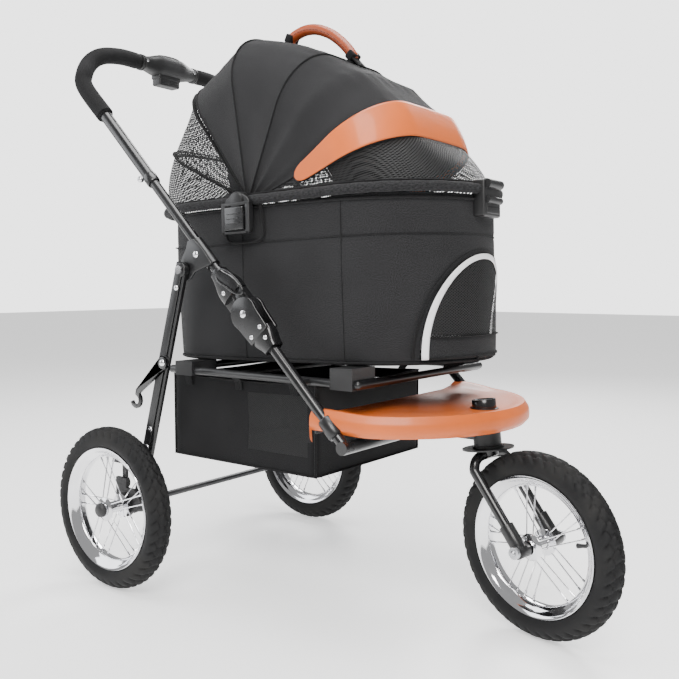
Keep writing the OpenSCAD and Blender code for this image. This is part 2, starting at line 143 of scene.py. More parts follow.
# ---------------------------------------------------------------- node groups and finishes
def new_group(name, inputs, outputs):
    """A shader node group with float or vector sockets."""
    tree = bpy.data.node_groups.new(name, "ShaderNodeTree")
    kinds = {"F": "NodeSocketFloat", "V": "NodeSocketVector", "C": "NodeSocketColor"}
    for label, kind, value in inputs:
        socket = tree.interface.new_socket(label, in_out="INPUT", socket_type=kinds[kind])
        if value is not None:
            socket.default_value = value
    for label, kind in outputs:
        tree.interface.new_socket(label, in_out="OUTPUT", socket_type=kinds[kind])
    return tree, tree.nodes.new("NodeGroupInput"), tree.nodes.new("NodeGroupOutput")


def calc(tree, operation, first, second=None, third=None):
    """A Math node; each operand is a socket or a number."""
    node = tree.nodes.new("ShaderNodeMath")
    node.operation = operation
    for socket, value in zip(node.inputs, (first, second, third)):
        if value is None:
            continue
        if isinstance(value, (int, float)):
            socket.default_value = value
        else:
            tree.links.new(value, socket)
    return node.outputs[0]


def noise_node(tree, vector, scale, detail=4, roughness=0.55):
    node = tree.nodes.new("ShaderNodeTexNoise")
    node.inputs["Scale"].default_value = scale
    node.inputs["Detail"].default_value = detail
    node.inputs["Roughness"].default_value = roughness
    if vector is not None:
        tree.links.new(vector, node.inputs["Vector"])
    return node.outputs["Fac"]


def spread(tree, value, low, high, to_low=0.0, to_high=1.0):
    """Map Range with smooth ends."""
    node = tree.nodes.new("ShaderNodeMapRange")
    node.interpolation_type = "SMOOTHSTEP"
    tree.links.new(value, node.inputs["Value"])
    for label, number in (("From Min", low), ("From Max", high), ("To Min", to_low), ("To Max", to_high)):
        node.inputs[label].default_value = number
    return node.outputs["Result"]


def grain_group():
    """Fine moulded or powder-coat grain with broad dust."""
    tree, given, out = new_group(
        "Fine grain", [("Vector", "V", None), ("Size", "F", 900.0)],
        [("Height", "F"), ("Dust", "F")])
    scaled = tree.nodes.new("ShaderNodeVectorMath")
    scaled.operation = "SCALE"
    tree.links.new(given.outputs["Vector"], scaled.inputs[0])
    tree.links.new(given.outputs["Size"], scaled.inputs["Scale"])
    tree.links.new(noise_node(tree, scaled.outputs[0], 1.0, 3), out.inputs["Height"])
    dust = noise_node(tree, given.outputs["Vector"], 14.0, 5, 0.6)
    tree.links.new(spread(tree, dust, 0.42, 0.72), out.inputs["Dust"])
    return tree


def weave_group():
    """Plain weave in the cloth's own flat coordinates, with slubs and a melange tone."""
    tree, given, out = new_group(
        "Plain weave", [("Vector", "V", None), ("Threads", "F", 900.0)],
        [("Height", "F"), ("Tone", "F")])
    split = tree.nodes.new("ShaderNodeSeparateXYZ")
    tree.links.new(given.outputs["Vector"], split.inputs[0])
    waves = []
    for axis in ("X", "Y"):
        turned = calc(tree, "MULTIPLY", split.outputs[axis], given.outputs["Threads"])
        waves.append(calc(tree, "SINE", calc(tree, "MULTIPLY", turned, math.pi)))
    crossing = calc(tree, "MULTIPLY", waves[0], waves[1])
    slub = noise_node(tree, given.outputs["Vector"], 420.0, 3, 0.7)
    tree.links.new(calc(tree, "ADD", calc(tree, "MULTIPLY", crossing, 0.5), slub), out.inputs["Height"])
    speck = noise_node(tree, given.outputs["Vector"], 620.0, 2, 0.8)
    broad = noise_node(tree, given.outputs["Vector"], 9.0, 3)
    mixed = calc(tree, "ADD", calc(tree, "MULTIPLY", spread(tree, speck, 0.35, 0.68), 0.75),
                 calc(tree, "MULTIPLY", broad, 0.35))
    tree.links.new(mixed, out.inputs["Tone"])
    return tree


def net_group():
    """Diamond netting: threads along two diagonals, open between them."""
    tree, given, out = new_group(
        "Diamond net",
        [("Vector", "V", None), ("Pitch X", "F", 0.006), ("Pitch Y", "F", 0.0045), ("Thread", "F", 0.42)],
        [("Cover", "F"), ("Height", "F")])
    split = tree.nodes.new("ShaderNodeSeparateXYZ")
    tree.links.new(given.outputs["Vector"], split.inputs[0])
    across = calc(tree, "DIVIDE", split.outputs["X"], given.outputs["Pitch X"])
    along = calc(tree, "DIVIDE", split.outputs["Y"], given.outputs["Pitch Y"])
    ridges = []
    for operation in ("ADD", "SUBTRACT"):
        part = calc(tree, "FRACT", calc(tree, operation, across, along))
        ridges.append(calc(tree, "MULTIPLY", calc(tree, "ABSOLUTE", calc(tree, "SUBTRACT", part, 0.5)), 2.0))
    ridge = calc(tree, "MAXIMUM", ridges[0], ridges[1])
    edge = calc(tree, "SUBTRACT", 1.0, given.outputs["Thread"])
    cover = calc(tree, "GREATER_THAN", ridge, edge)
    tree.links.new(cover, out.inputs["Cover"])
    tree.links.new(calc(tree, "MULTIPLY", ridge, ridge), out.inputs["Height"])
    return tree


def leather_group():
    """Smooth leather grain with creases, and a darker tone where it is handled."""
    tree, given, out = new_group(
        "Leather grain", [("Vector", "V", None), ("Size", "F", 420.0)], [("Height", "F"), ("Tone", "F")])
    cells = tree.nodes.new("ShaderNodeTexVoronoi")
    cells.feature = "DISTANCE_TO_EDGE"
    tree.links.new(given.outputs["Vector"], cells.inputs["Vector"])
    tree.links.new(given.outputs["Size"], cells.inputs["Scale"])
    pore = spread(tree, cells.outputs["Distance"], 0.0, 0.12)
    fine = noise_node(tree, given.outputs["Vector"], 900.0, 2)
    tree.links.new(calc(tree, "ADD", pore, calc(tree, "MULTIPLY", fine, 0.4)), out.inputs["Height"])
    tree.links.new(noise_node(tree, given.outputs["Vector"], 7.0, 4, 0.6), out.inputs["Tone"])
    return tree


def place_group(tree, group, vector, **values):
    node = tree.nodes.new("ShaderNodeGroup")
    node.node_tree = group
    tree.links.new(vector, node.inputs["Vector"])
    for label, number in values.items():
        node.inputs[label.replace("_", " ")].default_value = number
    return node


def new_finish(name, color, roughness, metallic=0.0, coat=0.0, sheen=0.0, specular=0.5):
    material = bpy.data.materials.new(name)
    material.use_nodes = True
    shader = material.node_tree.nodes["Principled BSDF"]
    shader.inputs["Base Color"].default_value = (*color, 1)
    shader.inputs["Roughness"].default_value = roughness
    shader.inputs["Metallic"].default_value = metallic
    shader.inputs["Coat Weight"].default_value = coat
    shader.inputs["Coat Roughness"].default_value = 0.12
    shader.inputs["Sheen Weight"].default_value = sheen
    shader.inputs["Sheen Roughness"].default_value = 0.45
    shader.inputs["Specular IOR Level"].default_value = specular
    FINISHES[name] = material
    return material, material.node_tree, shader


def add_bump(tree, shader, height, strength, distance):
    bump = tree.nodes.new("ShaderNodeBump")
    bump.inputs["Strength"].default_value = strength
    bump.inputs["Distance"].default_value = distance
    tree.links.new(height, bump.inputs["Height"])
    tree.links.new(bump.outputs[0], shader.inputs["Normal"])


def tint(tree, factor, low, high, target):
    """Colour between two tones by a mask."""
    mix = tree.nodes.new("ShaderNodeMix")
    mix.data_type = "RGBA"
    mix.inputs["A"].default_value = (*low, 1)
    mix.inputs["B"].default_value = (*high, 1)
    tree.links.new(factor, mix.inputs["Factor"])
    tree.links.new(mix.outputs["Result"], target)


def hard_finish(name, color, high, roughness, group, size, bump, metallic=0.0, coat=0.0, rough_high=None,
                specular=0.5):
    """Paint, plastic, foam or metal with grain from the object's own coordinates."""
    material, tree, shader = new_finish(name, color, roughness, metallic, coat, 0.0, specular)
    where = tree.nodes.new("ShaderNodeTexCoord").outputs["Object"]
    grain = place_group(tree, group, where, Size=size)
    tint(tree, grain.outputs["Dust"], color, high, shader.inputs["Base Color"])
    tree.links.new(spread(tree, grain.outputs["Dust"], 0, 1, roughness, rough_high or roughness + 0.1),
                   shader.inputs["Roughness"])
    add_bump(tree, shader, grain.outputs["Height"], bump, 0.0004)
    return material


def cloth_finish(name, dark, light, group, threads, bump=0.5, sheen=0.06, roughness=0.88):
    material, tree, shader = new_finish(name, dark, roughness, sheen=sheen, specular=0.12)
    where = tree.nodes.new("ShaderNodeUVMap").outputs[0]
    weave = place_group(tree, group, where, Threads=threads)
    tint(tree, weave.outputs["Tone"], dark, light, shader.inputs["Base Color"])
    add_bump(tree, shader, weave.outputs["Height"], bump, 0.0006)
    return material


def net_finish(name, color, group, pitch_x, pitch_y, thread):
    material, tree, shader = new_finish(name, color, 0.6, specular=0.4)
    where = tree.nodes.new("ShaderNodeUVMap").outputs[0]
    net = place_group(tree, group, where, Pitch_X=pitch_x, Pitch_Y=pitch_y, Thread=thread)
    tree.links.new(net.outputs["Cover"], shader.inputs["Alpha"])
    add_bump(tree, shader, net.outputs["Height"], 0.6, 0.0008)
    return material


def leather_finish(name, color, deep, group, size, roughness=0.42):
    material, tree, shader = new_finish(name, color, roughness, coat=0.18, specular=0.5)
    where = tree.nodes.new("ShaderNodeTexCoord").outputs["Object"]
    grain = place_group(tree, group, where, Size=size)
    tint(tree, spread(tree, grain.outputs["Tone"], 0.3, 0.75), deep, color, shader.inputs["Base Color"])
    tree.links.new(spread(tree, grain.outputs["Tone"], 0.3, 0.7, roughness, roughness + 0.1),
                   shader.inputs["Roughness"])
    add_bump(tree, shader, grain.outputs["Height"], 0.16, 0.0004)
    return material


# ---------------------------------------------------------------- mesh helpers
def surface(bm, columns, rows, place, flat=None, wrap=False):
    """A grid laid on a surface. place(u, v) gives the point and flat(u, v) the cloth coordinates."""
    made = bmesh.ops.create_grid(bm, x_segments=columns, y_segments=rows, size=0.5)["verts"]
    spots = {vert: (vert.co.x + 0.5, vert.co.y + 0.5) for vert in made}
    layer = bm.loops.layers.uv.verify()
    for face in {face for vert in made for face in vert.link_faces}:
        for loop in face.loops:
            u, v = spots[loop.vert]
            loop[layer].uv = flat(u, v) if flat else (u, v)
    for vert, (u, v) in spots.items():
        vert.co = place(u, v)
    if wrap:
        bmesh.ops.remove_doubles(bm, verts=made, dist=1e-6)
    return [vert for vert in made if vert.is_valid]


def smooth_path(points, steps=6, closed=False):
    """Catmull-Rom points through the given ones."""
    points = [Vector(point) for point in points]
    count = len(points)
    path = []
    for i in range(count if closed else count - 1):
        if closed:
            p0, p1, p2, p3 = (points[(i + k) % count] for k in (-1, 0, 1, 2))
        else:
            p0, p1, p2, p3 = (points[min(max(i + k, 0), count - 1)] for k in (-1, 0, 1, 2))
        for k in range(steps):
            t = k / steps
            path.append(0.5 * (2 * p1 + (p2 - p0) * t + (2 * p0 - 5 * p1 + 4 * p2 - p3) * t * t
                               + (3 * p1 - p0 - 3 * p2 + p3) * t ** 3))
    if not closed:
        path.append(points[-1])
    return path


def path_frames(path, closed=False, up=None):
    """A position and two cross directions at each point, carried along without twist."""
    count = len(path)
    frames, side = [], None
    for i, point in enumerate(path):
        ahead = path[(i + 1) % count] if closed else path[min(i + 1, count - 1)]
        behind = path[i - 1] if closed or i else path[0]
        tangent = (ahead - behind).normalized()
        if up is not None:
            side = tangent.cross(up).normalized()
        elif side is None:
            side = tangent.orthogonal().normalized()
        else:
            side = (side - tangent * side.dot(tangent)).normalized()
        frames.append((point, side, tangent.cross(side).normalized()))
    return frames


def sweep(bm, path, section, sides=16, closed=False, up=None, caps=True):
    """Carries a closed section along a path. section(t, angle) gives its two offsets."""
    frames = path_frames(path, closed, up)
    count = len(frames)
    rows = count if closed else count - 1

    def place(u, v):
        index = round(v * rows) % count
        point, side, over = frames[index]
        a, b = section(v, u * 2 * math.pi)
        return point + side * a + over * b

    made = surface(bm, sides, rows, place, lambda u, v: (u * 0.05, v * 0.5), wrap=True)
    if caps and not closed:
        edges = [e for e in {e for v in made for e in v.link_edges} if e.is_boundary]
        bmesh.ops.holes_fill(bm, edges=edges, sides=sides + 2)
    return made


def tube(bm, path, radius, sides=16, closed=False, caps=True):
    """A round bar; radius is a number or a function of the way along."""
    size = radius if callable(radius) else lambda t: radius
    return sweep(bm, path, lambda t, a: (size(t) * math.cos(a), size(t) * math.sin(a)), sides, closed,
                 caps=caps)


def strap(bm, path, width, thickness, up, closed=False):
    """A flat band with rounded edges, its face square to the up direction."""
    def section(t, a):
        wide, thin = math.cos(a), math.sin(a)
        return (math.copysign(abs(wide) ** 0.35, wide) * width / 2,
                math.copysign(abs(thin) ** 0.35, thin) * thickness / 2)
    return sweep(bm, path, section, 12, closed, up)


def lathe(bm, profile, matrix=Matrix(), steps=48):
    """Spins a closed or open profile of (radius, height) pairs about Z."""
    before = set(bm.verts)
    verts = [bm.verts.new((radius, 0, height)) for radius, height in profile]
    edges = [bm.edges.new((verts[i], verts[i + 1])) for i in range(len(verts) - 1)]
    bmesh.ops.spin(bm, geom=verts + edges, cent=(0, 0, 0), axis=(0, 0, 1), angle=2 * math.pi, steps=steps,
                   use_merge=True)
    fresh = [vert for vert in bm.verts if vert not in before]
    bmesh.ops.remove_doubles(bm, verts=fresh, dist=1e-6)
    fresh = [vert for vert in fresh if vert.is_valid]
    bmesh.ops.transform(bm, matrix=matrix, verts=fresh)


def plate(bm, outline, y0, y1, bevel=0.001, segments=2):
    """A plate standing in the X-Z plane between y0 and y1, with softened edges."""
    face = bm.faces.new([bm.verts.new((x, y0, z)) for x, z in outline])
    made = bmesh.ops.extrude_face_region(bm, geom=[face])["geom"]
    verts = [g for g in made if isinstance(g, bmesh.types.BMVert)]
    bmesh.ops.translate(bm, verts=verts, vec=(0, y1 - y0, 0))
    if bevel:
        around = {e for v in verts for e in v.link_edges} | set(face.edges)
        for f in {f for e in around for f in e.link_faces}:
            f.normal_update()
        sharp = [e for e in around if len(e.link_faces) == 2 and e.calc_face_angle(0) > 0.6]
        bmesh.ops.bevel(bm, geom=sharp, offset=bevel, offset_type="OFFSET", segments=segments,
                        profile=0.5, affect="EDGES", material=-1)


def block(bm, low, high, bevel=0.002, segments=3, matrix=None):
    """A box between two corners with rounded edges."""
    low, high = Vector(low), Vector(high)
    made = bmesh.ops.create_cube(bm, size=1)["verts"]
    bmesh.ops.scale(bm, vec=high - low, verts=made)
    bmesh.ops.translate(bm, vec=(low + high) / 2, verts=made)
    edges = list({e for v in made for e in v.link_edges})
    result = bmesh.ops.bevel(bm, geom=edges, offset=bevel, offset_type="OFFSET", segments=segments,
                             profile=0.5, affect="EDGES", material=-1)
    if matrix is not None:
        bmesh.ops.transform(bm, matrix=matrix, verts=list({v for f in result["faces"] for v in f.verts}))
    return result


def ball(bm, matrix, radius, squash=1.0, segments=16):
    """A rivet head or ball, flattened along its own Z."""
    made = bmesh.ops.create_uvsphere(bm, u_segments=segments, v_segments=segments // 2, radius=radius)
    bmesh.ops.scale(bm, vec=(1, 1, squash), verts=made["verts"])
    bmesh.ops.transform(bm, matrix=matrix, verts=made["verts"])


def along_y(point, sign=1):
    """A matrix whose Z runs out along Y at the point."""
    return Matrix.Translation(point) @ Matrix.Rotation(math.radians(-90 * sign), 4, "X")


def mirrored(bm):
    """Adds the piece's mirror image across the middle plane."""
    copy = bmesh.ops.duplicate(bm, geom=list(bm.verts) + list(bm.edges) + list(bm.faces))["geom"]
    verts = [g for g in copy if isinstance(g, bmesh.types.BMVert)]
    bmesh.ops.scale(bm, vec=(1, -1, 1), verts=verts)
    bmesh.ops.reverse_faces(bm, faces=[g for g in copy if isinstance(g, bmesh.types.BMFace)])


def finish_piece(name, bm, body, finish, replaces=(), matrix=None, smooth=40, recalc=True):
    """Turns the mesh into an object at the origin that rides on a body."""
    if matrix is not None:
        bmesh.ops.transform(bm, matrix=matrix, verts=bm.verts)
    bmesh.ops.remove_doubles(bm, verts=bm.verts, dist=2e-6)
    if recalc:
        bmesh.ops.recalc_face_normals(bm, faces=bm.faces)
    mesh = bpy.data.meshes.new(name)
    bm.to_mesh(mesh)
    bm.free()
    piece = bpy.data.objects.new(name, mesh)
    bpy.context.scene.collection.objects.link(piece)
    for label in finish if isinstance(finish, (list, tuple)) else [finish]:
        mesh.materials.append(FINISHES[label])
    mesh.shade_smooth()
    if smooth:
        mesh.set_sharp_from_angle(angle=math.radians(smooth))
    if body:
        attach(piece, body)
    if replaces:
        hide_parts(*replaces)
    return piece


def ease(value, low, high):
    t = min(max((value - low) / (high - low), 0), 1)
    return t * t * (3 - 2 * t)


def ripple(x, y, z, size, depth):
    """Soft unevenness of slack cloth."""
    return depth * noise.noise(Vector((x, y, z)) * size)


# ---------------------------------------------------------------- stage and finishes
class STROLLER_OT_stage(bpy.types.Operator):
    """Adds the pale floor, soft lights and the camera."""

    bl_idname = "stroller.stage"
    bl_label = "Stage"

    def execute(self, context):
        scene = context.scene
        material = bpy.data.materials.new("Pale floor")
        material.use_nodes = True
        shader = material.node_tree.nodes["Principled BSDF"]
        shader.inputs["Base Color"].default_value = (0.93, 0.93, 0.93, 1)
        shader.inputs["Roughness"].default_value = 0.34
        shader.inputs["Emission Color"].default_value = (1, 1, 1, 1)
        shader.inputs["Emission Strength"].default_value = 0.75
        bm = bmesh.new()
        bmesh.ops.create_grid(bm, x_segments=1, y_segments=1, size=14)
        bmesh.ops.translate(bm, vec=(0, 0, -0.0006), verts=bm.verts)
        mesh = bpy.data.meshes.new("floor")
        bm.to_mesh(mesh)
        bm.free()
        mesh.materials.append(material)
        floor = bpy.data.objects.new("floor", mesh)
        scene.collection.objects.link(floor)
        world = bpy.data.worlds.new("Soft room")
        world.use_nodes = True
        tree = world.node_tree
        soft = tree.nodes["Background"]
        soft.inputs["Color"].default_value = (1, 1, 1, 1)
        soft.inputs["Strength"].default_value = 0.42
        bright = tree.nodes.new("ShaderNodeBackground")
        bright.inputs["Color"].default_value = (1, 1, 1, 1)
        bright.inputs["Strength"].default_value = 3.0
        ray = tree.nodes.new("ShaderNodeLightPath")
        mix = tree.nodes.new("ShaderNodeMixShader")
        tree.links.new(ray.outputs["Is Camera Ray"], mix.inputs[0])
        tree.links.new(soft.outputs[0], mix.inputs[1])
        tree.links.new(bright.outputs[0], mix.inputs[2])
        tree.links.new(mix.outputs[0], tree.nodes["World Output"].inputs[0])
        scene.world = world
        lights = (
            ("Key", (1.4, -2.2, 2.6), 1.6, 120, (1, 0.985, 0.96)),
            ("Fill", (-2.4, -1.4, 1.6), 2.0, 40, (0.95, 0.97, 1)),
            ("Rim", (-0.8, 2.2, 2.2), 1.4, 80, (1, 1, 1)),
            ("Top", (0.1, -0.2, 3.2), 1.8, 90, (1, 1, 1)),
        )
        for name, place, size, power, color in lights:
            lamp = bpy.data.lights.new(name, "AREA")
            lamp.size, lamp.energy, lamp.color = size, power, color
            holder = bpy.data.objects.new(name, lamp)
            holder.location = place
            holder.rotation_euler = (Vector((0, 0, 0.5)) - Vector(place)).to_track_quat("-Z", "Y").to_euler()
            scene.collection.objects.link(holder)
        camera = bpy.data.cameras.new("camera")
        camera.lens, camera.sensor_width, camera.clip_start = 43.07, 36, 0.05
        holder = bpy.data.objects.new("camera", camera)
        turn, tilt = math.radians(37.124), math.radians(3.901)
        back = Vector((math.sin(turn) * math.cos(tilt), -math.cos(turn) * math.cos(tilt), math.sin(tilt)))
        holder.location = (0.88925, -1.21634, 0.56243)
        holder.rotation_euler = (-back).to_track_quat("-Z", "Y").to_euler()
        scene.collection.objects.link(holder)
        scene.camera = holder
        return {"FINISHED"}


class STROLLER_OT_finishes(bpy.types.Operator):
    """Mixes every finish used on the stroller and dresses the carried-over frame parts."""

    bl_idname = "stroller.finishes"
    bl_label = "Finishes"

    def execute(self, context):
        scene = context.scene
        paint = tuple(scene.stroller_frame.paint)
        cloth = tuple(scene.stroller_fabric.cloth)
        orange = tuple(scene.stroller_leather.orange)
        tan = tuple(scene.stroller_leather.tan)
        grain, weave, net, hide = grain_group(), weave_group(), net_group(), leather_group()
        lighter = tuple(c * 1.7 for c in paint)
        hard_finish("Gloss paint", paint, lighter, 0.24, grain, 700, 0.03, coat=0.25, rough_high=0.3)
        hard_finish("Satin paint", paint, tuple(c * 2 for c in paint), 0.33, grain, 1500, 0.12, coat=0.1)
        hard_finish("Moulded plastic", (0.008, 0.008, 0.0085), (0.016, 0.016, 0.017), 0.42, grain, 2200, 0.25)
        hard_finish("Polished plastic", (0.006, 0.006, 0.0065), (0.013, 0.013, 0.014), 0.22, grain, 900, 0.05,
                    coat=0.3)
        hard_finish("Grip foam", (0.010, 0.010, 0.0105), (0.022, 0.022, 0.023), 0.78, grain, 1300, 0.5,
                    specular=0.15)
        hard_finish("Tyre rubber", (0.0075, 0.0075, 0.008), (0.020, 0.0195, 0.019), 0.66, grain, 1700, 0.3,
                    rough_high=0.85, specular=0.22)
        hard_finish("Chrome", (0.80, 0.80, 0.82), (0.66, 0.66, 0.68), 0.07, grain, 300, 0.01, metallic=1,
                    rough_high=0.13)
        hard_finish("Dark steel", (0.045, 0.045, 0.048), (0.07, 0.07, 0.072), 0.34, grain, 900, 0.08,
                    metallic=0.7,
                    rough_high=0.45)
        hard_finish("Zinc steel", (0.52, 0.53, 0.55), (0.38, 0.38, 0.39), 0.28, grain, 900, 0.08, metallic=1,
                    rough_high=0.42)
        hard_finish("Reflective tape", (0.86, 0.86, 0.87), (0.70, 0.70, 0.72), 0.36, grain, 2600, 0.3)
        dark, light = cloth, tuple(c * 2.9 for c in cloth)
        cloth_finish("Woven cloth", tuple(c * 0.4 for c in dark), light, weave, 1100)
        cloth_finish("Webbing", (0.005, 0.005, 0.0055), (0.018, 0.018, 0.019), weave, 420, bump=0.9)
        cloth_finish("Lining", (0.006, 0.006, 0.0065), (0.017, 0.017, 0.018), weave, 1300)
        cloth_finish("Plush pad", (0.20, 0.20, 0.21), (0.40, 0.40, 0.41), weave, 500, bump=1.0, sheen=0.8)
        cloth_finish("Thread", (0.006, 0.006, 0.0065), (0.020, 0.020, 0.021), weave, 1500)
        net_finish("Open net", (0.008, 0.008, 0.0085), net, 0.0062, 0.0044, 0.46)
        net_finish("Fine net", (0.008, 0.008, 0.0085), net, 0.0040, 0.0032, 0.46)
        leather_finish("Orange leather", orange, tuple(c * 0.80 for c in orange), hide, 520)
        leather_finish("Tan leather", tan, tuple(c * 0.55 for c in tan), hide, 480, 0.36)
        dress = {
            "Gloss paint": ("upper_tubes", "lower_tubes"),
            "Satin paint": ("support_frame", "bearing_disc", "bow_rear", "bow_top", "bow_front"),
            "Moulded plastic": ("dock_blocks", "steering_head", "brake_housings", "brake_pedal_left",
                                "brake_pedal_right", "carrier_floor"),
            "Zinc steel": ("front_axle",),
            "Dark steel": ("rear_axle",),
            "Chrome": ("frame_rivets", "leg_rivets"),
        }
        for finish, names in dress.items():
            for name in names:
                slots = NODES[name].data.materials
                slots.clear()
                slots.append(FINISHES[finish])
        return {"FINISHED"}


# ---------------------------------------------------------------- wheels
def tread_depth(turn, around, blocks, depth):
    """Groove depth of the tyre at a way around the wheel and an angle on its section."""
    wide = abs(around)
    if wide > 1.5:
        return 0
    lean = (turn * blocks + 0.9 * wide) % 1
    groove = ease(abs(lean - 0.5), 0.33, 0.44)
    zigzag = 0.13 * (abs((turn * blocks) % 1 - 0.5) * 4 - 1)
    middle = 1 - ease(abs(around - zigzag), 0.05, 0.12)
    rib = 1 - ease(abs(wide - 0.62 - zigzag * 0.5), 0.04, 0.10)
    if wide < 0.2:
        groove = 0
    return depth * max(groove * (1 - ease(wide, 1.15, 1.4)), middle, rib * 0.8)


class STROLLER_OT_wheels(bpy.types.Operator):
    """Makes the three spoked wheels with treaded tyres, chrome rims and hubs."""

    bl_idname = "stroller.wheels"
    bl_label = "Wheels"

    def execute(self, context):
        wheel = context.scene.stroller_wheels
        upright = Matrix.Rotation(math.radians(-90), 4, "X")
        places = {
            "front": (FRONT_WHEEL, "wheel_front"),
            "rear_left": (Matrix.Translation(mm(-340, 288, 150)), "wheel_rear_left"),
            "rear_right": (Matrix.Translation(mm(-340, -288, 150)), "wheel_rear_right"),
        }
        for label, (place, body) in places.items():
            bm = bmesh.new()

            def tyre(u, v):
                around = (v - 0.5) * 2 * math.pi
                thick = 0.022 - tread_depth(u, around, wheel.tread_blocks, wheel.tread_depth)
                thick += sum(0.0006 * math.exp(-((abs(around) - at) / 0.06) ** 2) for at in (1.75,
                                                            2.05)) - 0.0001
                radius = 0.128 + thick * math.cos(around)
                turn = u * 2 * math.pi
                return Vector((radius * math.cos(turn), thick * math.sin(around), radius * math.sin(turn)))

            surface(bm, 352, 44, tyre, wrap=True)
            finish_piece("tyre_tread_" + label, bm, body, "Tyre rubber", ("tyre_" + label,), place)

            bm = bmesh.new()
            half = [(0.1118, 0.0160), (0.1136, 0.0176), (0.1128, 0.0190), (0.1085, 0.0178), (0.1060, 0.0150),
                    (0.1010, 0.0105), (0.0965, 0.0082), (0.0950, 0.0050)]
            inner = [(r, -h) for r, h in reversed(half)]
            lathe(bm, half + inner + [(0.1085, -0.012), (0.1085, 0.012), half[0]], upright, 96)
            finish_piece("rim_chrome_" + label, bm, body, "Chrome", ("rim_" + label,), place)

            bm = bmesh.new()
            hub = [(0.0065, 0.026), (0.0115, 0.026), (0.0125, 0.025), (0.0125, 0.0215), (0.0205, 0.0195),
                   (0.0215, 0.0185), (0.0215, 0.0172), (0.0120, 0.0150), (0.0105, 0.0110)]
            lathe(bm, hub + [(r, -h) for r, h in reversed(hub)], upright, 40)
            for i in range(wheel.spokes):
                turn = 2 * math.pi * i / wheel.spokes
                side = 1 if i % 2 else -1
                lead = math.radians(13) * (1 if i % 4 < 2 else -1)
                a = Vector((0.0195 * math.cos(turn), side * 0.0180, 0.0195 * math.sin(turn)))
                b = Vector((0.0975 * math.cos(turn + lead), side * 0.002, 0.0975 * math.sin(turn + lead)))
                tube(bm, [a, a.lerp(b, 0.5), a.lerp(b, 0.86), a.lerp(b, 0.87), b],
                     lambda t: 0.00105 if t < 0.6 else 0.0019, 8)
            finish_piece("spokes_" + label, bm, body, "Chrome", ("hub_" + label,), place)

            bm = bmesh.new()
            if label == "front":
                caps = [(0.0, 0.0285), (0.0065, 0.028), (0.0082, 0.0265), (0.0082, 0.0240), (0.0, 0.0240)]
                lathe(bm, caps, upright, 32)
                lathe(bm, [(r, -h) for r, h in caps], upright, 32)
            else:
                caps = [(0.0, 0.0345), (0.0085, 0.034), (0.0118, 0.0315), (0.0130, 0.0275), (0.0130, 0.0245),
                        (0.0, 0.0245)]
                lathe(bm, caps, upright if label == "rear_left" else upright @ Matrix.Scale(-1, 4, (0, 0, 1)),
                      32)
            valve = [Vector((0.0935, 0, 0.010)), Vector((0.083, 0, 0.009)), Vector((0.074, 0, 0.008))]
            tube(bm, valve, lambda t: 0.0032 if t < 0.6 else 0.0042, 10)
            finish_piece("wheel_caps_" + label, bm, body, "Moulded plastic", (), place)
        return {"FINISHED"}


# ---------------------------------------------------------------- frame
def slope_point(height, side=1, proud=0.0):
    """A point on the centre line of a main tube at a height in millimetres."""
    return mm(466 - height, side * (230 + proud), height)


